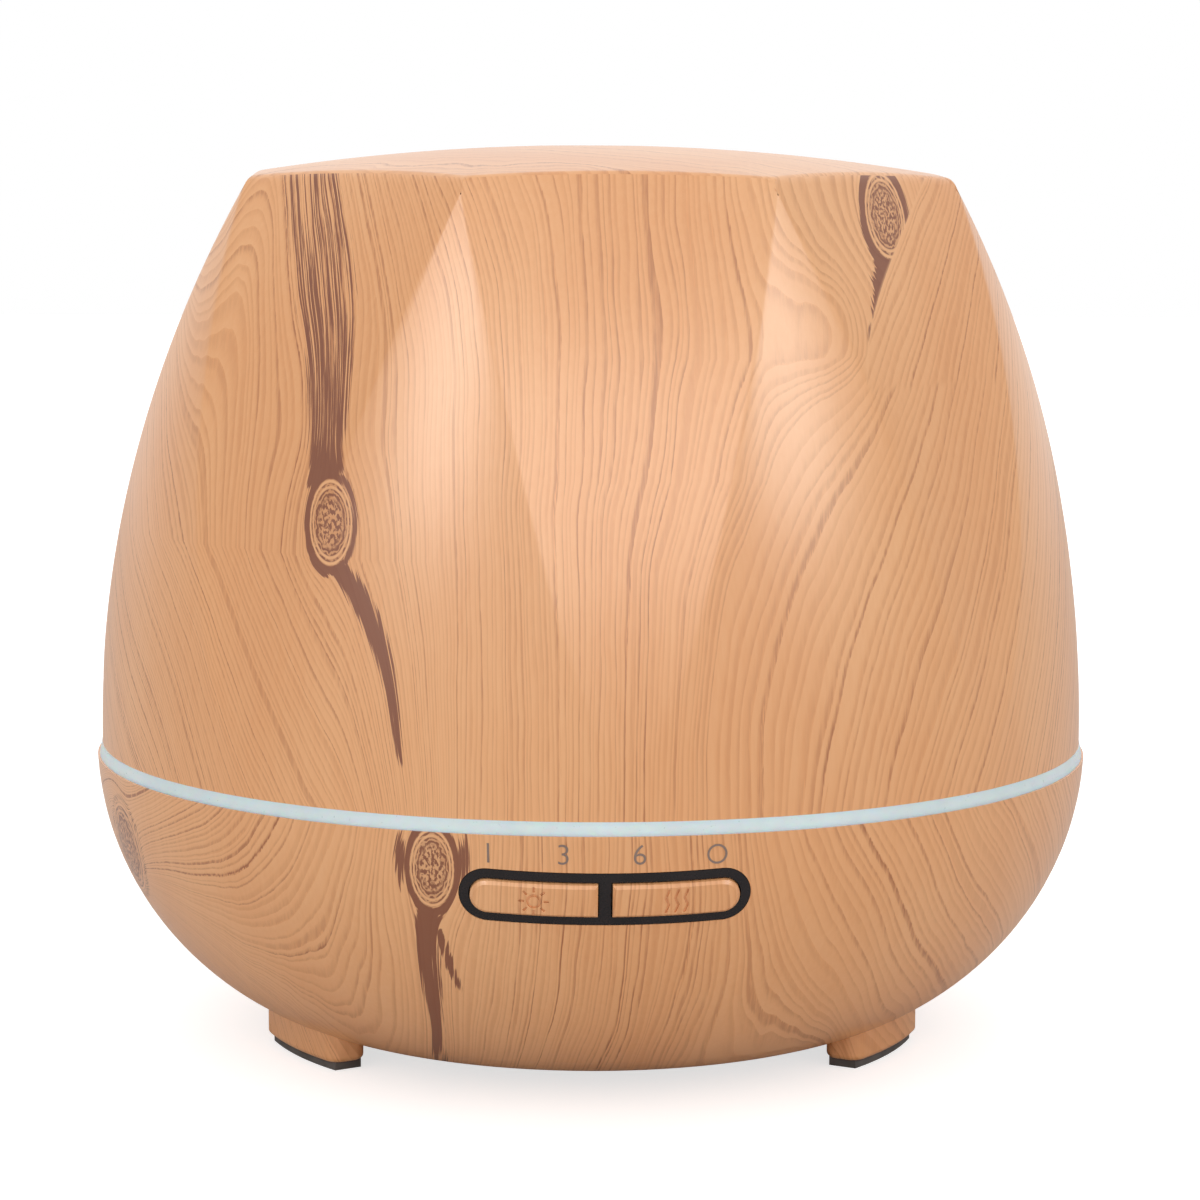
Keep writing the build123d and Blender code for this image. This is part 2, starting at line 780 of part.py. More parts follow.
# ---------------------------------------------------------------- main board
board_top_z = board_z + board_size[2]


def on_board(place):
    """Plan position of a place given from the middle of the main board."""
    return (place[0], board_y + place[1])


with BuildPart() as main_board:
    with BuildSketch(Plane.XY.offset(board_z)):
        with Locations((0, board_y)):
            RectangleRounded(board_size[0], board_size[1], 1.5)
        with Locations(*board_points):
            Circle(small_screw_r + screw_shank_gap, mode=Mode.SUBTRACT)
    extrude(amount=board_size[2])
save(main_board.part, "main_board")

board_planes = [Plane.XY.offset(board_top_z).move(Location((x, y, 0))) for x, y in board_points]
board_screws = screw_set(
    board_planes, small_screw_r, small_head_r, small_head_height, board_size[2] + 2
)
save(board_screws, "board_screws")

with BuildPart() as heat_sink:
    with BuildSketch(Plane.XY.offset(board_top_z)):
        with Locations(on_board(sink_at)):
            Rectangle(*sink_base)
            with GridLocations(sink_fin_pitch, 0, sink_fins, 1):
                Rectangle(*sink_fin)
    extrude(amount=sink_height)
save(heat_sink.part, "heat_sink")

with BuildPart() as drive_transistor:
    with BuildSketch(Plane.XY.offset(board_top_z)):
        with Locations(on_board(transistor_at)):
            Rectangle(*transistor_size[:2])
    extrude(amount=transistor_size[2])
save(drive_transistor.part, "drive_transistor")

with BuildPart() as drive_coil:
    with BuildSketch(Plane.XY.offset(board_top_z)):
        with Locations(on_board(coil_at)):
            Circle(coil_r)
    extrude(amount=coil_height)
    with BuildSketch(Plane.XY.offset(board_top_z + coil_flange)):
        with Locations(on_board(coil_at)):
            Circle(coil_r)
            Circle(coil_core_r, mode=Mode.SUBTRACT)
    extrude(amount=coil_height - 2 * coil_flange, mode=Mode.SUBTRACT)
save(drive_coil.part, "drive_coil")

with BuildPart() as capacitors:
    with BuildSketch(Plane.XY.offset(board_top_z)):
        with Locations(*[on_board(place) for place in capacitors_at]):
            Circle(capacitor_r)
    extrude(amount=capacitor_height)
    capacitor_tops = capacitors.faces().filter_by(Plane.XY).group_by(Axis.Z)[-1]
    fillet(capacitor_tops.edges(), capacitor_round)
save(capacitors.part, "capacitors")

with BuildPart() as controller_chip:
    with BuildSketch(Plane.XY.offset(board_top_z)):
        with Locations(on_board(chip_at)):
            Rectangle(*chip_size[:2])
            with GridLocations(chip_leg_pitch, 0, chip_legs, 1):
                Rectangle(*chip_leg[:2])
    extrude(amount=chip_leg[2])
    with BuildSketch(Plane.XY.offset(board_top_z + chip_lift)):
        with Locations(on_board(chip_at)):
            Rectangle(*chip_size[:2])
    extrude(amount=chip_size[2])
save(controller_chip.part, "controller_chip")

with BuildPart() as board_sockets:
    with BuildSketch(Plane.XY.offset(board_top_z)):
        with Locations(*[on_board(place) for place in sockets_at]):
            Rectangle(*socket_size[:2])
            Rectangle(
                socket_size[0] - 2 * socket_wall,
                socket_size[1] - 2 * socket_wall,
                mode=Mode.SUBTRACT,
            )
    extrude(amount=socket_size[2])
    with BuildSketch(Plane.XY.offset(board_top_z)):
        with Locations(*[on_board(place) for place in sockets_at]):
            Rectangle(*socket_size[:2])
    extrude(amount=socket_floor)
save(board_sockets.part, "board_sockets")

# ---------------------------------------------------------------- light boards
light_top_z = light_z + light_board_size[2]
with BuildPart() as light_boards:
    with BuildSketch(Plane.XY.offset(light_z)):
        with Locations((-light_x, 0), (light_x, 0)):
            RectangleRounded(light_board_size[0], light_board_size[1], 1)
        with Locations(*light_points):
            Circle(small_screw_r + screw_shank_gap, mode=Mode.SUBTRACT)
    extrude(amount=light_board_size[2])
save(light_boards.part, "light_boards")

with BuildPart() as lights:
    with BuildSketch(Plane.XY.offset(light_top_z)):
        with Locations((-light_x, 0), (light_x, 0)):
            with GridLocations(0, light_pitch, 1, light_count):
                Rectangle(light_size[0], light_size[1])
    extrude(amount=light_size[2])
    with BuildSketch(Plane.XY.offset(light_top_z + light_size[2])):
        with Locations((-light_x, 0), (light_x, 0)):
            with GridLocations(0, light_pitch, 1, light_count):
                Circle(0.4 * light_size[0])
    extrude(amount=-light_size[2] / 4, mode=Mode.SUBTRACT)
save(lights.part, "lights")

light_planes = [Plane.XY.offset(light_top_z).move(Location((x, y, 0))) for x, y in light_points]
light_screws = screw_set(
    light_planes, small_screw_r, small_head_r, small_head_height, light_board_size[2] + 4
)
save(light_screws, "light_screws")

# ---------------------------------------------------------------- power jack
jack_plane = inlet_face.offset(-inlet_wall)
with BuildPart() as power_jack:
    with BuildSketch(jack_plane):
        RectangleRounded(jack_size[0], jack_size[1], 0.6)
    extrude(amount=-jack_size[2])
    with BuildSketch(jack_plane):
        Circle(jack_nose_r)
    extrude(amount=inlet_wall)
    with BuildSketch(jack_plane.offset(inlet_wall)):
        Circle(jack_bore_r)
    extrude(amount=-jack_bore_depth, mode=Mode.SUBTRACT)
save(power_jack.part, "power_jack")

with BuildPart() as jack_pin:
    with BuildSketch(jack_plane.offset(inlet_wall - jack_bore_depth)):
        Circle(jack_pin_r)
    extrude(amount=jack_bore_depth - 0.6)
    fillet(jack_pin.edges().sort_by(Axis(inlet_face.origin, inlet_face.z_dir))[-1], 0.4)
save(jack_pin.part, "jack_pin")

# ---------------------------------------------------------------- button panel
bowl_skin_top = bowl_arc_z - 1
bezel_front_form = bowl_form(0, bowl_skin_top)
bezel_flange_form = bowl_form(shell_wall + fit_gap / 3, bowl_skin_top)
bezel_back_form = bowl_form(bezel_back, bowl_skin_top)
with BuildPart() as button_bezel:
    with BuildSketch(panel_plane.offset(-front_cut)):
        SlotOverall(panel_width + 2 * bezel_flange, panel_height + 2 * bezel_flange)
    extrude(amount=2 * front_cut)
    add(bezel_flange_form, mode=Mode.INTERSECT)
    with BuildSketch(panel_plane.offset(-front_cut)):
        SlotOverall(panel_width, panel_height)
    extrude(amount=2 * front_cut)
    add(bezel_front_form, mode=Mode.INTERSECT)
    add(bezel_back_form, mode=Mode.SUBTRACT)
    with BuildSketch(panel_plane.offset(-front_cut)):
        SlotOverall(panel_width - 2 * bezel_band, panel_height - 2 * bezel_band)
        Rectangle(bezel_divider, panel_height, mode=Mode.SUBTRACT)
    extrude(amount=2 * front_cut, mode=Mode.SUBTRACT)
save(button_bezel.part, "button_bezel")


def button_outline(side, grow):
    """Draw one button's outline in the open sketch: round outer end, square inner end."""
    inner_x = bezel_divider / 2 - grow
    reach = panel_width / 2
    SlotOverall(panel_width - 2 * bezel_band + 2 * grow, panel_height - 2 * bezel_band + 2 * grow)
    with Locations((side * (inner_x - reach) / 2, 0)):
        Rectangle(reach + inner_x, panel_height, mode=Mode.SUBTRACT)


def lamp_symbol():
    """Draw a lamp in the open sketch: a ring with short rays round it."""
    Circle(1.15)
    Circle(0.75, mode=Mode.SUBTRACT)
    with PolarLocations(1.85, 8):
        Rectangle(0.8, 0.34)


def mist_symbol():
    """Draw three rising wisps in the open sketch."""
    for wisp_x in (-1.4, 0, 1.4):
        for leg in (-1, 0, 1):
            lean = 22 if leg else -22
            with Locations((wisp_x, 1.15 * leg)):
                SlotOverall(1.6, 0.38, rotation=90 - lean)


button_face_form = bowl_form(-button_proud, bowl_skin_top)
button_symbol_form = bowl_form(symbol_depth - button_proud, bowl_skin_top)
button_flange_form = bowl_form(button_flange_front, bowl_skin_top)
button_back_form = bowl_form(button_back, bowl_skin_top)
stem_form = bowl_form(button_flange_front + button_flange_depth / 2, bowl_skin_top)


def button_cap(side, draw_symbol):
    """Bevelled keycap with a rear flange, an engraved symbol and a stem for the switch."""
    with BuildPart() as cap:
        with BuildSketch(panel_plane.offset(-front_cut)):
            button_outline(side, -button_gap)
        extrude(amount=2 * front_cut)
        add(button_face_form, mode=Mode.INTERSECT)
        chamfer(cap.faces().sort_by(panel_axis)[-1].edges(), button_bevel)
        add(button_back_form, mode=Mode.SUBTRACT)
    with BuildPart() as flange:
        with BuildSketch(panel_plane.offset(-front_cut)):
            button_outline(side, button_flange)
            with Locations((-side * panel_width / 4, 0)):
                Rectangle(
                    panel_width / 2 + 2 * button_gap, 2 * panel_height, mode=Mode.SUBTRACT
                )
        extrude(amount=2 * front_cut)
        add(button_flange_form, mode=Mode.INTERSECT)
        add(button_back_form, mode=Mode.SUBTRACT)
    with BuildPart() as stem:
        with BuildSketch(panel_plane.offset(-plunger_top)):
            with Locations((side * button_x, 0)):
                Circle(plunger_r)
        extrude(amount=plunger_top)
        add(stem_form, mode=Mode.INTERSECT)
    with BuildPart() as mark:
        with BuildSketch(panel_plane.offset(-2 * button_proud)):
            with Locations((side * button_x, 0)):
                draw_symbol()
        extrude(amount=4 * button_proud)
        add(button_symbol_form, mode=Mode.SUBTRACT)
    with BuildPart() as finished:
        add(cap.part)
        add(flange.part)
        add(stem.part)
        add(mark.part, mode=Mode.SUBTRACT)
    return finished.part


light_button = button_cap(-1, lamp_symbol)
save(light_button, "light_button")
mist_button = button_cap(1, mist_symbol)
save(mist_button, "mist_button")

with BuildPart() as key_board:
    with BuildSketch(key_back_plane):
        RectangleRounded(key_board_size[0], key_board_size[1], 1)
        with Locations((-key_screw_x, 0), (key_screw_x, 0)):
            Circle(small_screw_r + screw_shank_gap, mode=Mode.SUBTRACT)
    extrude(amount=key_board_size[2])
save(key_board.part, "key_board")

key_screw_planes = [
    Plane(
        origin=key_back_plane.from_local_coords((x, 0, 0)),
        x_dir=key_back_plane.x_dir,
        z_dir=-key_back_plane.z_dir,
    )
    for x in (-key_screw_x, key_screw_x)
]
key_screws = screw_set(
    key_screw_planes,
    small_screw_r,
    small_head_r,
    small_head_height,
    key_board_size[2] + small_head_height,
)
save(key_screws, "key_screws")

with BuildPart() as key_switches:
    with BuildSketch(key_front_plane):
        with Locations((-button_x, 0), (button_x, 0)):
            RectangleRounded(switch_size, switch_size, 0.4)
            Circle(plunger_r + running_gap, mode=Mode.SUBTRACT)
    extrude(amount=switch_height)
save(key_switches.part, "key_switches")

for name, side in (("light_plunger", -1), ("mist_plunger", 1)):
    with BuildPart() as plunger:
        with BuildSketch(panel_plane.offset(-plunger_top)):
            with Locations((side * button_x, 0)):
                Circle(plunger_r)
        extrude(amount=-plunger_proud - button_travel - plunger_spare)
    save(plunger.part, name)

# ---------------------------------------------------------------- upper cover
cover_outer = cover_form(0, seam_z, rim_round)
cover_inner = cover_form(cover_wall, seam_z - cover_wall, 0)
guard_boss_points = [
    polar(guard_boss_ring_r, facet_turn + (number + 0.5) * 360 / guard_screw_count)
    for number in range(guard_screw_count)
]
with BuildPart() as cover_bosses:
    with BuildSketch(Plane.XY.offset(guard_plate_z)):
        with Locations(*guard_boss_points):
            Circle(guard_boss_r)
    extrude(amount=dome_top_z - guard_plate_z)
    add(cover_outer, mode=Mode.INTERSECT)

with BuildPart() as upper_cover:
    add(cover_outer)
    add(cover_inner, mode=Mode.SUBTRACT)
    add(cover_bosses.part)
    with BuildSketch(Plane.XY.offset(guard_plate_z)):
        with Locations(*guard_boss_points):
            Circle(small_screw_r + screw_shank_gap)
    extrude(amount=4 * small_head_height, mode=Mode.SUBTRACT)
    with BuildSketch(Plane.XY.offset(guard_plate_z + cover_wall)):
        Circle(outlet_tube_r + screw_shank_gap)
    extrude(amount=dome_top_z - guard_plate_z, mode=Mode.SUBTRACT)
save(upper_cover.part, "upper_cover")

with BuildPart() as mist_outlet:
    with BuildSketch(Plane.XY.offset(dome_top_z - outlet_length)):
        Circle(outlet_tube_r)
    extrude(amount=outlet_length)
    with Locations((0, 0, dome_centre_z)):
        Sphere(dome_r, mode=Mode.INTERSECT)
    with BuildSketch(Plane.XY.offset(outlet_lip_z)):
        Circle(outlet_tube_r + outlet_lip)
    extrude(amount=outlet_lip_height)
    with BuildSketch(Plane.XY.offset(dome_top_z - outlet_length)):
        Circle(outlet_r)
    extrude(amount=outlet_length, mode=Mode.SUBTRACT)
    fillet(mist_outlet.edges().filter_by(GeomType.CIRCLE).sort_by(Axis.Z)[-1], 0.8)
save(mist_outlet.part, "mist_outlet")

with BuildPart() as splash_guard:
    with BuildSketch(Plane.XZ):
        Polygon(
            (guard_rim_r, guard_rim_z),
            (guard_plate_r, guard_plate_z),
            (chimney_r, guard_plate_z),
            (chimney_r, outlet_lip_z),
            (chimney_r - guard_wall, outlet_lip_z),
            (chimney_r - guard_wall, guard_plate_z - guard_wall),
            (guard_plate_r - guard_wall, guard_plate_z - guard_wall),
            (guard_rim_r - guard_wall, guard_rim_z),
            align=None,
        )
    revolve(axis=Axis.Z)
    with BuildSketch(Plane.XY.offset(guard_plate_z - guard_wall)):
        with Locations(*guard_boss_points):
            Circle(small_screw_r + screw_shank_gap)
    extrude(amount=guard_wall, mode=Mode.SUBTRACT)
save(splash_guard.part, "splash_guard")

guard_planes = [
    Plane(origin=(x, y, guard_plate_z - guard_wall), x_dir=(1, 0, 0), z_dir=(0, 0, -1))
    for x, y in guard_boss_points
]
guard_screws = screw_set(
    guard_planes, small_screw_r, small_head_r, small_head_height, guard_wall + 3
)
save(guard_screws, "guard_screws")
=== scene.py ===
"""Looks of the essential oil diffuser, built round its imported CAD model.

Lengths named here are in mm and angles in degrees, unless a comment says otherwise.
"""

import math

import bmesh
import bpy
from mathutils import Matrix, Vector


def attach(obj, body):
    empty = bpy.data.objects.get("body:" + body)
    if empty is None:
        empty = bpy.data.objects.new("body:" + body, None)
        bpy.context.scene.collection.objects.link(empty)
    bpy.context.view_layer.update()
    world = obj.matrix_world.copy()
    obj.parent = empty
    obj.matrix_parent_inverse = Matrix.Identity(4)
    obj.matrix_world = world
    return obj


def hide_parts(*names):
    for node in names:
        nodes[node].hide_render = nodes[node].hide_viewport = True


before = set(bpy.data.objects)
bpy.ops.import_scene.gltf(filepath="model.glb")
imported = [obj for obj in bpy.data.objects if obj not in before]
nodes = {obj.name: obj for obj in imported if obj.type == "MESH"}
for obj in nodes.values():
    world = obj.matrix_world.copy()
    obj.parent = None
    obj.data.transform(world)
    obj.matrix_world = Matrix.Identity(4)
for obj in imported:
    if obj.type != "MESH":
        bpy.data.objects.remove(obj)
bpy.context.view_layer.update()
scene = bpy.context.scene
MM = 0.001

# Arcs of the part's outline: centre radius, centre height, arc radius
BOWL_SIDE = (34.3, 50.4, 50.2)
BOWL_LOW = (40.95, 39.0, 37.0)
BOWL_JOIN_Z = 7.05
SIDE_ARC = (-133.8, 50.8, 217.4)
FACET_ARC = (-112.16, 46.4, 196.0)
DOME = (-209.59, 360.0)  # centre height and arc radius

# Cover
WALL = 2.4
SEAM_Z = 50.1
RIM_Z = 145.0
HOLE_R = 9.65
EDGE_SOFT = 0.4
RIM_SOFT = 1.0
FACETS = 8
FACET_TURN = 2.5
FACET_SPAN = 360.0 / FACETS
MIN_HALF_FACET = 1.6
BOSS_COUNT = 4
BOSS_RING_R = 36.0
BOSS_LOW_Z = 100.0
BOSS_HIGH_Z = 147.2
BOSS_R = 3.4
BOSS_BORE_R = 1.15
BOSS_BORE_DEPTH = 4.8

# Divisions of the cover's mesh
FACET_COLUMNS = 10
ROUND_COLUMNS = 12
SIDE_ROWS = 56
TOP_RINGS = 16
BOSS_SIDES = 24

# The cover's material slots
FRONT, RIGHT, BACK, TOP, INSIDE = range(5)

# Azimuths where the cover's films meet
LEFT_SEAM = -110.0
RIGHT_SEAM = 25.0
BACK_SEAM = 115.0

# Timer marks
MARK_Z = 45.1
MARK_AZIMUTHS = (("1", -11.95), ("3", -4.26), ("6", 3.46))
RING_AZIMUTH = 11.43


# ---------------------------------------------------------------- node arithmetic
class Num:
    """A number worked out by nodes, used like an ordinary number."""

    def __init__(self, tree, out):
        self.tree, self.out = tree, out

    def math(self, operation, *others, clamp=False):
        node = self.tree.nodes.new("ShaderNodeMath")
        node.operation = operation
        node.use_clamp = clamp
        for slot, value in zip(node.inputs, (self, *others)):
            plug(self.tree, slot, value)
        return Num(self.tree, node.outputs[0])

    def __add__(self, other):
        return self.math("ADD", other)

    __radd__ = __add__

    def __sub__(self, other):
        return self.math("SUBTRACT", other)

    def __rsub__(self, other):
        return self.math("MULTIPLY", -1.0).math("ADD", other)

    def __mul__(self, other):
        return self.math("MULTIPLY", other)

    __rmul__ = __mul__

    def __truediv__(self, other):
        return self.math("DIVIDE", other)

    def __neg__(self):
        return self.math("MULTIPLY", -1.0)

    def above(self, low):
        return self.math("MAXIMUM", low)

    def below(self, high):
        return self.math("MINIMUM", high)

    def squared(self):
        return self.math("MULTIPLY", self)

    def root(self):
        return self.math("SQRT")

    def exp(self):
        return self.math("EXPONENT")

    def hump(self, middle, width):
        """1 at the middle, falling off smoothly over the width on either side."""
        return (-(((self - middle) / width).squared())).exp()

    def step(self, start, end):
        """0 before start, 1 after end, smooth between."""
        node = self.tree.nodes.new("ShaderNodeMapRange")
        node.interpolation_type = "SMOOTHSTEP"
        falling = not isinstance(start, Num) and not isinstance(end, Num) and end < start
        lows = (end, start, 1.0, 0.0) if falling else (start, end, 0.0, 1.0)
        plug(self.tree, node.inputs["Value"], self)
        for name, value in zip(("From Min", "From Max", "To Min", "To Max"), lows):
            plug(self.tree, node.inputs[name], value)
        return Num(self.tree, node.outputs["Result"])

    def mix(self, low, high):
        """low where this is 0, high where it is 1."""
        return self * (high - low) + low


def plug(tree, slot, value):
    if isinstance(value, Num):
        tree.links.new(value.out, slot)
    else:
        slot.default_value = value


def vector(x, y, z):
    tree = next(v.tree for v in (x, y, z) if isinstance(v, Num))
    node = tree.nodes.new("ShaderNodeCombineXYZ")
    for slot, value in zip(node.inputs, (x, y, z)):
        plug(tree, slot, value)
    return Num(tree, node.outputs[0])


def noise(at, scale=1.0, detail=1.0, rough=0.5):
    """Smooth noise, about 0.5 on average, of a vector."""
    node = at.tree.nodes.new("ShaderNodeTexNoise")
    at.tree.links.new(at.out, node.inputs["Vector"])
    node.inputs["Scale"].default_value = scale
    node.inputs["Detail"].default_value = detail
    node.inputs["Roughness"].default_value = rough
    return Num(at.tree, node.outputs["Fac"])


def chance(number, seed):
    """A steady random number from 0 to 1 for each whole number."""
    node = number.tree.nodes.new("ShaderNodeTexWhiteNoise")
    node.noise_dimensions = "1D"
    plug(number.tree, node.inputs["W"], number + seed)
    return Num(number.tree, node.outputs["Value"])


def blend_colour(tree, amount, low, high):
    """Mix of two colours, each a tuple or a colour made by nodes."""
    node = tree.nodes.new("ShaderNodeMix")
    node.data_type = "RGBA"
    plug(tree, node.inputs["Factor"], amount)
    for slot, value in zip((node.inputs[6], node.inputs[7]), (low, high)):
        if isinstance(value, Num):
            tree.links.new(value.out, slot)
        else:
            slot.default_value = (*value, 1.0)
    return Num(tree, node.outputs[2])


def srgb(red, green, blue):
    """Linear colour of an 8-bit screen colour."""
    return tuple(
        c / 12.92 if c <= 0.04045 else ((c + 0.055) / 1.055) ** 2.4
        for c in (red / 255, green / 255, blue / 255)
    )


def place(tree):
    """x, y and z in mm in the object's own space."""
    coord = tree.nodes.new("ShaderNodeTexCoord")
    split = tree.nodes.new("ShaderNodeSeparateXYZ")
    tree.links.new(coord.outputs["Object"], split.inputs[0])
    return [Num(tree, out) * 1000.0 for out in split.outputs]


def new_material(name):
    material = bpy.data.materials.new(name)
    material.use_nodes = True
    tree = material.node_tree
    return material, tree, tree.nodes["Principled BSDF"]


def add_bump(tree, shader, height, strength, distance):
    bump = tree.nodes.new("ShaderNodeBump")
    bump.inputs["Strength"].default_value = strength
    bump.inputs["Distance"].default_value = distance
    plug(tree, bump.inputs["Height"], height)
    tree.links.new(bump.outputs["Normal"], shader.inputs["Normal"])


# ---------------------------------------------------------------- wood-grain film
LIGHT_WOOD = srgb(240, 182, 130)
MID_WOOD = srgb(226, 156, 100)
LINE_WOOD = srgb(158, 92, 54)
KNOT_WOOD = srgb(126, 68, 44)
PLAIN_SHELL = srgb(206, 164, 120)


def ripple(place_along, z, amount, seed):
    """Slow sideways waver of the grain."""
    wander = noise(vector(place_along * 0.035, seed, z * 0.022), 1.0, 2.0)
    small = noise(vector(place_along * 0.3, seed, z * 0.06), 1.0, 1.0)
    return (wander - 0.5) * amount + (small - 0.5) * (0.12 * amount)


def ellipse(x, z, middle_x, middle_z, half_x, half_z):
    """Distance from a knot's middle, 1 on its outline."""
    return (((x - middle_x) / half_x).squared() + ((z - middle_z) / half_z).squared()).root()


def parting(x, middle_x, reach):
    """Grain pushed sideways round a knot."""
    return -(x - middle_x) / reach.squared().above(1.0)


def grain(flow, x, z, pitch, seed):
    """Darkness of the growth lines, and how light or dark the wood between them is."""
    uneven = noise(vector(flow * 0.55, seed, z * 0.006), 1.0, 2.0)
    rings = flow * pitch + uneven * 2.6
    phase = rings.math("FRACT")
    number = rings.math("FLOOR")
    weight = chance(number, seed)
    ragged = noise(vector(x * 4.5, seed, z * 0.32), 1.0, 1.0) - 0.5
    edge = phase + ragged * 0.36
    line = edge.step(0.42, 0.82) * edge.step(1.0, 0.9)
    broken = noise(vector(x * 1.3, seed + 3.0, z * 0.09), 1.0, 2.0).step(0.36, 0.58)
    groups = noise(vector(flow * 0.16, seed + 7.0, z * 0.008), 1.0, 1.0).step(0.45, 0.68)
    strong = weight.squared() * weight
    darkness = (strong * 0.75 + 0.16) * broken.mix(0.42, 1.0) * groups.mix(0.7, 1.25)
    return line * darkness, phase


def strokes(flow, z, amount, seed):
    """Dark fibres that crowd together where amount nears 1."""
    fibre = noise(vector(flow * 2.4, seed, z * 0.045), 1.0, 2.0, 0.6)
    edge = noise(vector(flow * 5.0, seed, z * 0.5), 1.0, 1.0) * 0.1
    return (fibre + edge + amount - 1.05).step(-0.02, 0.07)


def knot_face(x, z, reach, seed):
    """Darkness of the fine rings and flecks inside a knot, and its pale outline."""
    swirl = noise(vector(x * 0.9, seed, z * 0.7), 1.0, 2.0)
    rings = (reach * 7.0 + swirl * 2.2).math("FRACT")
    flecks = noise(vector(x * 2.2, seed, z * 1.4), 1.0, 2.0).step(0.56, 0.44)
    ring_dark = rings.step(0.2, 0.5) * rings.step(1.0, 0.8)
    face = reach.step(0.45, 0.7).mix(flecks * 0.8 + 0.2, ring_dark * 0.7 + 0.3)
    outer = reach.step(0.9, 0.94) * reach.step(1.0, 0.97)
    inner = reach.step(0.76, 0.8) * reach.step(0.86, 0.83)
    rim = outer + inner * 0.8
    return face * (1.0 - rim) * reach.step(1.03, 0.99), rim


def skin_places(x, y):
    """Radius, angle round the axis, and distance along the skin from the front."""
    radius = (x.squared() + y.squared()).root()
    angle = x.math("ARCTAN2", -y)
    return radius, angle, radius * angle


def shared_flow(across, z):
    """The front film's grain, as far as both of its materials need it."""
    start = (100.0 - z).above(0.0) * 0.6 - 15.0
    lean = across.step(start, 75.0)
    right = (z.below(118.0) - 50.0) * 0.45 * lean
    round_knot = z.hump(123.0, 14.0) * across.hump(40.0, 12.0) * 7.0
    reach_1 = ellipse(across, z, -43.4, 93.1, 3.9, 6.4)
    reach_2 = ellipse(across, z, 51.2, 139.2, 5.2, 6.8)
    flow = (
        across
        - right
        - round_knot
        + ripple(across, z, 5.0, 1.0)
        + parting(across, -43.4, reach_1)
        + parting(across, 51.2, reach_2) * 1.2
    )
    return flow, reach_1, reach_2


def front_grain(flow, across, z):
    """Lines lie closest at the front, and wider to either side."""
    spaced = (
        flow.above(-34.0).below(16.0) * 1.30
        + (flow - 16.0).above(0.0) * 0.62
        + (flow + 34.0).below(0.0) * 0.92
    )
    return grain(spaced, across, z, 1.0, 11.0)


def front_film(x, y, z):
    """Line and knot darkness on the cover's front and left, tone between lines, pale marks."""
    _, _, across = skin_places(x, y)
    high = (z - 110.0).above(0.0)
    low = (88.0 - z).above(0.0)
    left_top = high.squared() * -0.006 * across.step(-2.0, -28.0)
    left_low = low * 0.6 * across.step(-20.0, -42.0)
    far_left = (z - 80.0) * -0.5 * across.step(-60.0, -88.0)
    from_path = across + high.squared() * 0.0065 + 44.6
    neck = from_path * from_path.hump(0.0, 8.0) * z.hump(108.0, 15.0) * 1.1
    flow, reach_1, _ = shared_flow(across, z)
    flow = flow - left_top - left_low - far_left + neck
    line, tone = front_grain(flow, across, z)

    widening = (z - 100.0).above(0.0) * 0.16 + 3.4
    upper = ((from_path / widening).hump(0.0, 1.0) * 1.5).below(1.0)
    upper = upper * (z.step(106.0, 97.0) * 0.26 + 0.60 - (z - 104.0).above(0.0) * 0.0025)
    upper = upper * z.step(94.0, 99.0)
    fall = (1.0 - ((z - 88.0) / 11.0).below(0.0).exp()) * 13.0 - 43.6
    tail_width = (z - 52.0).above(0.0) * 0.085 + 0.5
    tail = ((across - fall) / tail_width).hump(0.0, 1.0) * (0.86 - low * 0.007)
    tail = tail * z.step(92.0, 87.0) * z.step(52.0, 60.0)
    halo = reach_1.hump(1.12, 0.22) * across.step(-39.4, -46.4).mix(0.66, 0.86)
    crowd = upper.math("MAXIMUM", tail).math("MAXIMUM", halo)
    dark = strokes(flow, z, crowd, 41.0)
    face, rim = knot_face(across, z, reach_1, 51.0)
    inside = reach_1.step(1.03, 0.99)
    return line * (1.0 - inside), dark * (1.0 - inside) + face, tone, rim * 0.6


def right_film(x, y, z):
    """The same for the cover's right, where a second film starts at a seam."""
    _, _, across = skin_places(x, y)
    flow, _, reach_2 = shared_flow(across, z)
    line, tone = front_grain(flow, across, z)
    seam = (z - 113.0).above(0.0).squared() * 0.0225 + 42.4
    beyond = (across - seam).step(0.0, 0.35) * z.step(112.0, 114.0)
    steep = (z - 112.0).above(0.0).squared() * 0.012 + (z - 50.0) * 0.45
    flow_right = across - steep + ripple(across, z, 6.0, 5.0)
    line_right, tone_right = grain(flow_right * 0.55, across, z, 1.0, 23.0)
    line = beyond.mix(line, line_right)
    tone = beyond.mix(tone, tone_right)
    taper = (across - ((z - 120.0) * 0.42 + 44.4)).hump(0.0, 2.2)
    crowd = (
        taper * z.step(136.0, 132.0) * z.step(116.0, 122.0) * 0.72
        + reach_2.hump(1.12, 0.2) * 0.8
        + reach_2.hump(1.7, 0.5) * 0.34
    )
    near = 1.0 - beyond
    dark = strokes(flow, z, crowd * near, 43.0)
    face, rim = knot_face(across, z, reach_2, 57.0)
    inside = reach_2.step(1.03, 0.99) * near
    seam_line = (across - seam - 0.2).hump(0.0, 0.35) * z.step(112.0, 116.0)
    pale = seam_line * 0.5 + rim * near * 0.5
    return line * (1.0 - inside), dark * (1.0 - inside) + face * near, tone, pale


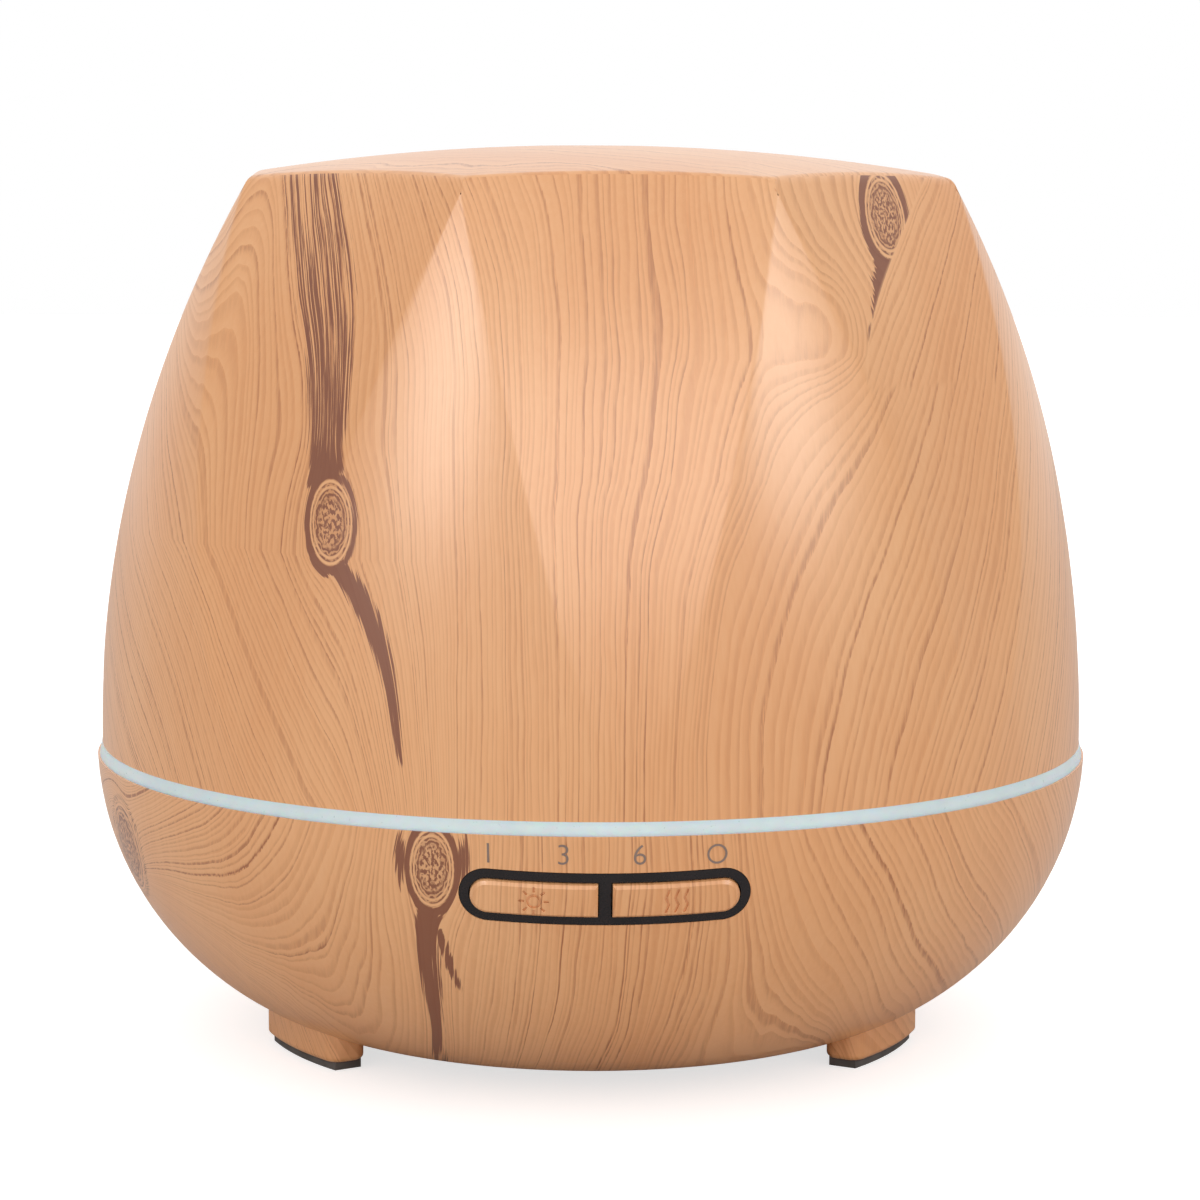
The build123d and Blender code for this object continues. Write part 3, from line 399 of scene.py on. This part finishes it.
def back_film(x, y, z):
    """The same for the cover's back: one more sheet, with its own waver."""
    radius, angle, _ = skin_places(x, y)
    turned = (angle.math("ABSOLUTE") - math.pi) * radius * angle.math("SIGN")
    reach = ellipse(turned, z, 22.0, 96.0, 4.2, 6.6)
    flow = turned + ripple(turned, z, 16.0, 9.0) + parting(turned, 22.0, reach) * 1.4
    line, tone = grain(flow * 1.05, turned, z, 1.0, 37.0)
    crowd = (turned - 22.0).hump(0.0, 3.4) * (z - 96.0).math("ABSOLUTE").step(34.0, 8.0)
    crowd = (crowd * 0.66).math("MAXIMUM", reach.hump(1.12, 0.22) * 0.82)
    dark = strokes(flow, z, crowd, 45.0)
    face, rim = knot_face(turned, z, reach, 53.0)
    inside = reach.step(1.03, 0.99)
    return line * (1.0 - inside), dark * (1.0 - inside) + face, tone, rim * 0.5


def dome_film(x, y, z):
    """The same for the cover's top: long arches that run across it."""
    arch = (x * 0.045).squared() * 6.0
    flow = y * 0.55 + x * 0.45 + arch * 0.35 + ripple(x * 0.7, y, 22.0, 3.0)
    line, tone = grain(flow * 0.62, x, y, 1.0, 61.0)
    return line * 0.85, line * 0.0, tone, line * 0.0


def base_film(x, y, z):
    """The same for the base, with its front and back sheets."""
    radius, angle, across = skin_places(x, y)
    back = angle.math("ABSOLUTE").step(1.97, 1.98)
    down = 48.0 - z

    right = down * 0.55 * across.step(8.0, 48.0) * ((across - 48.0).above(0.0) * 0.02 + 1.0)
    outward = ((-across - 25.0).above(0.0) / 27.0).squared().below(6.0)
    left = down * -0.6 * outward
    inward = down.squared() * -0.0022 * across.hump(0.0, 26.0)
    reach_3 = ellipse(across, z, -26.3, 42.4, 3.5, 6.2)
    reach_4 = ellipse(across, z, -99.0, 35.5, 7.0, 8.0)
    flow = (
        across
        - right
        - left
        - inward
        + ripple(across, z, 7.0, 13.0)
        + parting(across, -26.3, reach_3)
        + parting(across, -99.0, reach_4) * 3.0
    )
    spaced = (
        flow.above(-40.0).below(22.0) * 1.18
        + (flow - 22.0).above(0.0) * 0.60
        + (flow + 40.0).below(0.0) * 0.62
    )
    line, tone = grain(spaced, across, z, 1.0, 71.0)
    turned = (angle.math("ABSOLUTE") - math.pi) * radius * angle.math("SIGN")
    flow_back = turned + ripple(turned, z, 14.0, 17.0)
    line_back, tone_back = grain(flow_back * 1.05, turned, z, 1.0, 83.0)
    patch = across.hump(-46.0, 11.0) * z.hump(28.0, 7.0)
    line = line * (patch * 1.2 + 1.0)
    line = back.mix(line, line_back)
    tone = back.mix(tone, tone_back)

    offset = across + 26.3
    path = (z - 30.0).hump(0.0, 9.0) * -1.2 - 26.0
    bundle = (across - path).hump(0.0, 2.7) * z.step(40.0, 35.0) * (0.86 - down * 0.006)
    branch = (
        (across - ((34.0 - z).above(0.0) * 0.33 - 26.0)).hump(0.0, 1.4)
        * z.step(36.0, 32.0)
        * z.step(16.0, 24.0)
        * 0.62
    )
    flanks = (offset.math("ABSOLUTE") - 5.0).hump(0.0, 1.7) * z.hump(43.5, 6.5) * 0.7
    crowd = bundle.math("MAXIMUM", branch).math("MAXIMUM", flanks)
    crowd = crowd.math("MAXIMUM", reach_3.hump(1.12, 0.2) * 0.82).math(
        "MAXIMUM", reach_4.hump(1.12, 0.2) * 0.5
    )
    front = 1.0 - back
    dark = strokes(flow, z, crowd * front, 91.0)
    face_3, rim_3 = knot_face(across, z, reach_3, 93.0)
    face_4, _ = knot_face(across, z, reach_4, 97.0)
    inside = (reach_3.step(1.03, 0.99) + reach_4.step(1.03, 0.99)).below(1.0) * front
    dark = dark * (1.0 - inside) + (face_3 + face_4) * front
    return line * (1.0 - inside), dark, tone, rim_3 * 0.6


def wood_colour(tree, x, y, z, line, dark, tone, pale):
    """Colour and surface height of the printed film."""
    cloud = noise(vector(x * 0.03, y * 0.03, z * 0.012), 1.0, 2.0).step(0.3, 0.7)
    fibre = noise(vector(x * 1.6, y * 1.6, z * 0.12), 1.0, 3.0, 0.65)
    tint = (cloud * 0.45 + tone * 0.35 + fibre * 0.5 - 0.2).math("ADD", 0.0, clamp=True)
    wood = blend_colour(tree, tint, LIGHT_WOOD, MID_WOOD)
    wood = blend_colour(tree, line.math("ADD", 0.0, clamp=True), wood, LINE_WOOD)
    wood = blend_colour(tree, (dark * 0.92).math("ADD", 0.0, clamp=True), wood, KNOT_WOOD)
    wood = blend_colour(tree, pale.math("ADD", 0.0, clamp=True), wood, LIGHT_WOOD)
    height = (fibre - 0.5) * 0.6 - line * 0.5 - dark * 0.35
    return wood, height


def finish_wood(tree, shader, colour, height):
    tree.links.new(colour.out, shader.inputs["Base Color"])
    gloss = (height * -0.06 + 0.33).math("ADD", 0.0, clamp=True)
    plug(tree, shader.inputs["Roughness"], gloss)
    shader.inputs["Coat Weight"].default_value = 0.18
    shader.inputs["Coat Roughness"].default_value = 0.22
    add_bump(tree, shader, height, 0.25, 0.00006)


def film_material(name, film):
    material, tree, shader = new_material(name)
    x, y, z = place(tree)
    colour, height = wood_colour(tree, x, y, z, *film(x, y, z))
    finish_wood(tree, shader, colour, height)
    return material


def base_material():
    material, tree, shader = new_material("wood_base")
    x, y, z = place(tree)
    colour, height = wood_colour(tree, x, y, z, *base_film(x, y, z))
    radius = (x.squared() + y.squared()).root()
    side_inset = BOWL_SIDE[2] - (
        (radius - BOWL_SIDE[0]).squared() + (z - BOWL_SIDE[1]).squared()
    ).root()
    low_inset = BOWL_LOW[2] - (
        (radius - BOWL_LOW[0]).above(0.0).squared() + (z - BOWL_LOW[1]).squared()
    ).root()
    inset = z.step(BOWL_JOIN_Z - 0.01, BOWL_JOIN_Z + 0.01).mix(low_inset, side_inset)
    inner = inset.step(0.7, 1.1)
    colour = blend_colour(tree, inner, colour, PLAIN_SHELL)
    finish_wood(tree, shader, colour, height * (1.0 - inner))
    return material


# ---------------------------------------------------------------- other materials
def moulded(name, colour, roughness, speckle=0.06, grain_size=3.0, **sockets):
    """Moulded or machined surface: slight mottling, fine texture and uneven gloss."""
    material, tree, shader = new_material(name)
    x, y, z = place(tree)
    mottle = noise(vector(x * 0.25, y * 0.25, z * 0.25), 1.0, 3.0)
    fine = noise(vector(x * grain_size, y * grain_size, z * grain_size), 1.0, 2.0)
    dark = tuple(c * (1 - 4 * speckle) for c in colour)
    light = tuple(min(1.0, c * (1 + 2 * speckle)) for c in colour)
    mixed = blend_colour(tree, mottle.step(0.25, 0.75), dark, light)
    tree.links.new(mixed.out, shader.inputs["Base Color"])
    plug(tree, shader.inputs["Roughness"], fine * 0.12 + (roughness - 0.06))
    for socket, value in sockets.items():
        shader.inputs[socket.replace("_", " ")].default_value = value
    add_bump(tree, shader, fine, 0.2, 0.00004)
    return material


def board_material():
    """Green solder mask with copper tracks under it."""
    material, tree, shader = new_material("circuit_board")
    x, y, z = place(tree)
    tracks = (x * 0.9 + noise(vector(x * 0.1, y * 0.1, 0.0), 1.0, 1.0) * 6.0).math("FRACT")
    lanes = (y * 0.45).math("FLOOR")
    kept = chance(lanes + (x * 0.1).math("FLOOR") * 7.0, 3.0).step(0.45, 0.5)
    copper = tracks.step(0.5, 0.56) * tracks.step(0.95, 0.88) * kept
    mask = blend_colour(tree, copper * 0.7, srgb(18, 84, 52), srgb(52, 128, 76))
    tree.links.new(mask.out, shader.inputs["Base Color"])
    shader.inputs["Roughness"].default_value = 0.32
    add_bump(tree, shader, copper, 0.3, 0.00005)
    return material


def light_material():
    """Small lamp: white case with a yellow lens."""
    material, tree, shader = new_material("light_emitter")
    x, y, z = place(tree)
    from_row = ((y + 3.5).math("WRAP", 7.0, 0.0) - 3.5).squared()
    from_column = (x.math("ABSOLUTE") - 44.0).squared()
    lens = (from_row + from_column).root().step(2.2, 1.9)
    grit = noise(vector(x * 6.0, y * 6.0, z * 6.0), 1.0, 2.0)
    inside = blend_colour(tree, grit, srgb(240, 206, 90), srgb(250, 228, 140))
    colour = blend_colour(tree, lens, srgb(240, 240, 236), inside)
    tree.links.new(colour.out, shader.inputs["Base Color"])
    shader.inputs["Roughness"].default_value = 0.35
    add_bump(tree, shader, grit * lens, 0.3, 0.00004)
    return material


finishes = {
    "translucent_white": moulded(
        "translucent_white", srgb(248, 244, 245), 0.3, 0.01, 2.0,
        Subsurface_Weight=0.6, Subsurface_Scale=0.004, Transmission_Weight=0.12,
    ),
    "white_plastic": moulded("white_plastic", srgb(232, 232, 228), 0.4, 0.02),
    "foot_rubber": moulded("foot_rubber", srgb(92, 86, 82), 0.75, 0.08, 5.0),
    "smoked_plastic": moulded(
        "smoked_plastic", srgb(30, 24, 25), 0.28, 0.08, 1.5, Specular_IOR_Level=0.35
    ),
    "seal_rubber": moulded("seal_rubber", srgb(200, 196, 188), 0.6, 0.03),
    "disc_metal": moulded("disc_metal", srgb(206, 200, 186), 0.28, 0.03, 6.0, Metallic=1.0),
    "plate_steel": moulded("plate_steel", srgb(176, 178, 182), 0.32, 0.05, 5.0, Metallic=1.0),
    "screw_steel": moulded("screw_steel", srgb(188, 190, 194), 0.26, 0.05, 5.0, Metallic=1.0),
    "magnet": moulded("magnet", srgb(96, 98, 102), 0.35, 0.06, 4.0, Metallic=0.8),
    "black_plastic": moulded("black_plastic", srgb(36, 36, 38), 0.42, 0.08, 4.0),
    "switch_white": moulded("switch_white", srgb(236, 234, 224), 0.38, 0.03),
    "circuit_board": board_material(),
    "light_emitter": light_material(),
    "heat_sink_metal": moulded(
        "heat_sink_metal", srgb(150, 152, 156), 0.4, 0.05, 5.0, Metallic=1.0
    ),
    "coil_ferrite": moulded("coil_ferrite", srgb(70, 66, 66), 0.55, 0.08, 4.0),
    "capacitor_sleeve": moulded("capacitor_sleeve", srgb(34, 40, 58), 0.3, 0.06, 2.0),
}
finishes["mark"] = moulded("mark_ink", srgb(138, 116, 104), 0.5, 0.04, 4.0)
wood_base = base_material()

for name, piece in nodes.items():
    slot = piece.data.materials[0].name.split(".")[0]
    piece.data.materials.clear()
    piece.data.materials.append(wood_base if slot == "wood_print" else finishes[slot])


# ---------------------------------------------------------------- cover with softened facet edges
def arc_radius(arc, z, inset):
    """Radius at a height of a side arc, given as (centre radius, centre height, arc radius)."""
    return arc[0] + math.sqrt((arc[2] - inset) ** 2 - (z - arc[1]) ** 2)


def skin_radius(z, azimuth, inset):
    """Radius of the cover's side at a height and azimuth in degrees."""
    half = FACET_SPAN / 2
    off_middle = (azimuth - FACET_TURN + half) % FACET_SPAN - half
    facet = arc_radius(FACET_ARC, z, inset) / math.cos(math.radians(off_middle))
    return min(arc_radius(SIDE_ARC, z, inset), facet)


def dome_height(radius, inset):
    return DOME[0] + math.sqrt((DOME[1] - inset) ** 2 - radius * radius)


def columns_at(z):
    """Azimuths of the mesh columns at a height, two of them beside each facet edge."""
    side = arc_radius(SIDE_ARC, z, 0.0)
    facet = arc_radius(FACET_ARC, z, 0.0)
    edge = max(MIN_HALF_FACET, math.degrees(math.acos(min(1.0, facet / side))))
    soft = math.degrees(EDGE_SOFT / side)
    angles = []
    for number in range(FACETS):
        middle = FACET_TURN + (number - 2) * FACET_SPAN
        reach = edge - soft
        angles += [middle - reach + 2 * reach * i / FACET_COLUMNS for i in range(FACET_COLUMNS + 1)]
        start, span = middle + edge + soft, FACET_SPAN - 2 * (edge + soft)
        angles += [start + span * i / ROUND_COLUMNS for i in range(ROUND_COLUMNS + 1)]
    return angles


def at(radius, azimuth, z):
    turned = math.radians(azimuth)
    return Vector((radius * math.sin(turned), -radius * math.cos(turned), z)) * MM


def cover_rows():
    """Closed loops of points from the inner lower edge, over the outside, and back inside."""
    rows = []
    kinds = []
    for row in range(SIDE_ROWS + 1):
        z = SEAM_Z + (RIM_Z - RIM_SOFT - SEAM_Z) * row / SIDE_ROWS
        rows.append([at(skin_radius(z, a, 0.0), a, z) for a in columns_at(z)])
        kinds.append("side")
    top = columns_at(RIM_Z)
    corner = []
    for a in top:
        z = RIM_Z
        for _ in range(6):
            z = dome_height(skin_radius(z, a, 0.0), 0.0)
        corner.append((skin_radius(z, a, 0.0), z))
    for step in (0.25, 0.5, 0.75, 1.0):
        row = []
        for a, (radius, z) in zip(top, corner):
            low_z = RIM_Z - RIM_SOFT
            low = Vector((skin_radius(low_z, a, 0.0), low_z))
            inner_r = radius - RIM_SOFT
            inner = Vector((inner_r, dome_height(inner_r, 0.0)))
            peak = Vector((radius, z))
            point = low * (1 - step) ** 2 + peak * 2 * step * (1 - step) + inner * step**2
            row.append(at(point.x, a, point.y))
        rows.append(row)
        kinds.append("side" if step < 0.6 else "top")
    for ring in range(1, TOP_RINGS + 1):
        share = ring / TOP_RINGS
        row = []
        for a, (radius, z) in zip(top, corner):
            r = (radius - RIM_SOFT) * (1 - share) + HOLE_R * share
            row.append(at(r, a, dome_height(r, 0.0)))
        rows.append(row)
        kinds.append("top")
    inner_top = []
    for a in top:
        z = RIM_Z - WALL
        for _ in range(6):
            z = dome_height(skin_radius(z, a, WALL), WALL)
        inner_top.append((skin_radius(z, a, WALL), z))
    for ring in range(TOP_RINGS // 2, -1, -1):
        share = ring / (TOP_RINGS // 2)
        row = []
        for a, (radius, z) in zip(top, inner_top):
            r = radius * (1 - share) + HOLE_R * share
            row.append(at(r, a, dome_height(r, WALL)))
        rows.append(row)
        kinds.append("inside")
    for row in range(SIDE_ROWS // 2 - 1, -1, -1):
        z = SEAM_Z + (RIM_Z - WALL - SEAM_Z) * row / (SIDE_ROWS // 2)
        rows.append([at(skin_radius(z, a, WALL), a, z) for a in columns_at(z)])
        kinds.append("inside")
    return rows, kinds


def add_boss(mesh, x, y):
    """Screw boss: a post with a blind hole in its lower end."""
    count = BOSS_SIDES
    levels = [
        (BOSS_R, BOSS_HIGH_Z),
        (BOSS_R, BOSS_LOW_Z),
        (BOSS_BORE_R, BOSS_LOW_Z),
        (BOSS_BORE_R, BOSS_LOW_Z + BOSS_BORE_DEPTH),
    ]
    loops = []
    for radius, z in levels:
        loops.append(
            [
                mesh.verts.new(
                    Vector((x + radius * math.cos(t), y + radius * math.sin(t), z)) * MM
                )
                for t in (2 * math.pi * i / count for i in range(count))
            ]
        )
    for one, two in zip(loops, loops[1:]):
        for i in range(count):
            j = (i + 1) % count
            face = mesh.faces.new((one[i], two[i], two[j], one[j]))
            face.material_index = INSIDE
    mesh.faces.new(list(reversed(loops[-1]))).material_index = INSIDE
    mesh.faces.new(loops[0]).material_index = INSIDE


def build_cover():
    rows, kinds = cover_rows()
    mesh = bmesh.new()
    loops = [[mesh.verts.new(point) for point in row] for row in rows]
    count = len(loops[0])
    total = len(loops)
    for r in range(total):
        below, above = loops[r], loops[(r + 1) % total]
        kind = "inside" if r == total - 1 else kinds[r + 1]
        for c in range(count):
            d = (c + 1) % count
            face = mesh.faces.new((below[c], below[d], above[d], above[c]))
            face.smooth = True
            middle = face.calc_center_median()
            azimuth = math.degrees(math.atan2(middle.x, -middle.y))
            if kind == "top":
                face.material_index = TOP
            elif kind == "inside":
                face.material_index = INSIDE
            elif LEFT_SEAM < azimuth < RIGHT_SEAM:
                face.material_index = FRONT
            elif RIGHT_SEAM < azimuth < BACK_SEAM:
                face.material_index = RIGHT
            else:
                face.material_index = BACK
    for number in range(BOSS_COUNT):
        turned = math.radians(FACET_TURN + (number + 0.5) * 360.0 / BOSS_COUNT)
        add_boss(mesh, BOSS_RING_R * math.sin(turned), -BOSS_RING_R * math.cos(turned))
    bmesh.ops.recalc_face_normals(mesh, faces=mesh.faces)
    data = bpy.data.meshes.new("cover_shell")
    mesh.to_mesh(data)
    mesh.free()
    for material in (
        film_material("wood_front", front_film),
        film_material("wood_right", right_film),
        film_material("wood_back", back_film),
        film_material("wood_top", dome_film),
        moulded("cover_inner_plastic", PLAIN_SHELL, 0.45, 0.03),
    ):
        data.materials.append(material)
    piece = bpy.data.objects.new("cover_shell", data)
    scene.collection.objects.link(piece)
    data.set_sharp_from_angle(angle=math.radians(35.0))
    weight = piece.modifiers.new("soft edges", "WEIGHTED_NORMAL")
    weight.keep_sharp = True
    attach(piece, "cover")
    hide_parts("upper_cover")
    return piece


build_cover()


# ---------------------------------------------------------------- timer marks
def bowl_radius(z):
    return BOWL_SIDE[0] + math.sqrt(BOWL_SIDE[2] ** 2 - (BOWL_SIDE[1] - z) ** 2)


def wrapped_mark(name, data, azimuth, z):
    """A flat outline in mm, wrapped on the bowl's skin at an azimuth and height."""
    mesh = bmesh.new()
    mesh.from_mesh(data)
    bmesh.ops.triangulate(mesh, faces=mesh.faces)
    for vert in mesh.verts:
        u, v, lift = vert.co
        height = z + v * 0.985
        radius = bowl_radius(height)
        vert.co = at(radius + 0.03 + lift, azimuth + math.degrees(u / radius), height)
    mesh.to_mesh(data)
    mesh.free()
    data.materials.clear()
    data.materials.append(finishes["mark"])
    piece = bpy.data.objects.new(name, data)
    scene.collection.objects.link(piece)
    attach(piece, "base")
    return piece


def text_mesh(text, size):
    curve = bpy.data.curves.new("text", "FONT")
    curve.body = text
    curve.size = size
    curve.align_x = "CENTER"
    curve.align_y = "CENTER"
    curve.extrude = 0.02
    curve.offset = -0.012 * size
    holder = bpy.data.objects.new("text", curve)
    scene.collection.objects.link(holder)
    bpy.context.view_layer.update()
    depsgraph = bpy.context.evaluated_depsgraph_get()
    data = bpy.data.meshes.new_from_object(holder.evaluated_get(depsgraph))
    bpy.data.objects.remove(holder)
    return data


def ring_mesh(radius, band, steps=48):
    mesh = bmesh.new()
    loops = []
    for r, lift in ((radius, -0.02), (radius, 0.02), (radius - band, 0.02), (radius - band, -0.02)):
        loops.append(
            [
                mesh.verts.new((r * math.cos(t), r * math.sin(t), lift))
                for t in (2 * math.pi * i / steps for i in range(steps))
            ]
        )
    for one, two in zip(loops, loops[1:] + loops[:1]):
        for i in range(steps):
            j = (i + 1) % steps
            mesh.faces.new((one[i], one[j], two[j], two[i]))
    bmesh.ops.recalc_face_normals(mesh, faces=mesh.faces)
    data = bpy.data.meshes.new("ring")
    mesh.to_mesh(data)
    mesh.free()
    return data


for number, azimuth in MARK_AZIMUTHS:
    wrapped_mark("timer_mark_" + number, text_mesh(number, 4.6), azimuth, MARK_Z)
wrapped_mark("timer_mark_on", ring_mesh(1.55, 0.32), RING_AZIMUTH, MARK_Z)

# ---------------------------------------------------------------- stage, light and camera
floor_mesh = bpy.data.meshes.new("floor")
sheet = bmesh.new()
bmesh.ops.create_grid(sheet, x_segments=1, y_segments=1, size=3.0)
sheet.to_mesh(floor_mesh)
sheet.free()
floor = bpy.data.objects.new("floor", floor_mesh)
scene.collection.objects.link(floor)
material, tree, shader = new_material("floor")
x, y, z = place(tree)
cloudy = noise(vector(x * 0.01, y * 0.01, 0.0), 1.0, 2.0)
plug(tree, shader.inputs["Roughness"], cloudy * 0.1 + 0.75)
shader.inputs["Base Color"].default_value = (0.6, 0.6, 0.6, 1.0)
shader.inputs["Emission Color"].default_value = (1.0, 1.0, 1.0, 1.0)
seen = Num(tree, tree.nodes.new("ShaderNodeLightPath").outputs["Is Camera Ray"])
plug(tree, shader.inputs["Emission Strength"], seen * 0.68)
floor_mesh.materials.append(material)

world = bpy.data.worlds.new("room")
world.use_nodes = True
tree = world.node_tree
background = tree.nodes["Background"]
coord = tree.nodes.new("ShaderNodeTexCoord")
split = tree.nodes.new("ShaderNodeSeparateXYZ")
tree.links.new(coord.outputs["Generated"], split.inputs[0])
dx, dy, dz = (Num(tree, out) for out in split.outputs)
bearing = dx.math("ARCTAN2", -dy).math("ABSOLUTE") * math.degrees(1.0)
softbox = bearing.hump(45.0, 22.0) * 0.3
backdrop = bearing.step(112.0, 138.0) * 0.5
overhead = dz.step(0.45, 0.85) * 0.3
ahead = bearing.hump(0.0, 60.0) * 0.42
room = softbox.math("MAXIMUM", backdrop).math("MAXIMUM", overhead) + ahead + 0.6
path = tree.nodes.new("ShaderNodeLightPath")
seen = Num(tree, path.outputs["Is Camera Ray"])
plug(tree, background.inputs["Strength"], seen.mix(room, 1.0))
background.inputs["Color"].default_value = (1.0, 1.0, 1.0, 1.0)
scene.world = world
scene.view_settings.view_transform = "Standard"


def panel_light(name, where, size, power):
    """A large lit panel that only shows as a sheen, facing the object."""
    lamp = bpy.data.lights.new(name, "AREA")
    lamp.shape = "RECTANGLE"
    lamp.size, lamp.size_y = size
    lamp.energy = power
    holder = bpy.data.objects.new(name, lamp)
    scene.collection.objects.link(holder)
    aim = Vector((0.0, 0.0, 0.08)) - Vector(where)
    holder.rotation_euler = aim.to_track_quat("-Z", "Y").to_euler()
    holder.location = where
    holder.visible_diffuse = False


panel_light("left_panel", (-0.72, -0.86, 0.72), (0.42, 0.7), 6.5)
panel_light("right_panel", (0.86, -0.74, 0.72), (0.42, 0.7), 6.0)
panel_light("front_panel", (0.1, -1.1, 0.62), (0.45, 0.6), 3.4)

turn = math.radians(-1.65)
spot = Matrix.Rotation(turn, 4, "Z") @ Vector((0.00114, -0.570, 0.1445))
camera = bpy.data.cameras.new("camera")
camera.lens = 100.05
camera.sensor_width = 36.0
eye = bpy.data.objects.new("camera", camera)
scene.collection.objects.link(eye)
eye.matrix_world = (
    Matrix.Translation(spot)
    @ Matrix.Rotation(turn - 0.0006, 4, "Z")
    @ Matrix.Rotation(math.radians(90.0 - 7.17), 4, "X")
    @ Matrix.Rotation(0.0038, 4, "Z")
)
scene.camera = eye
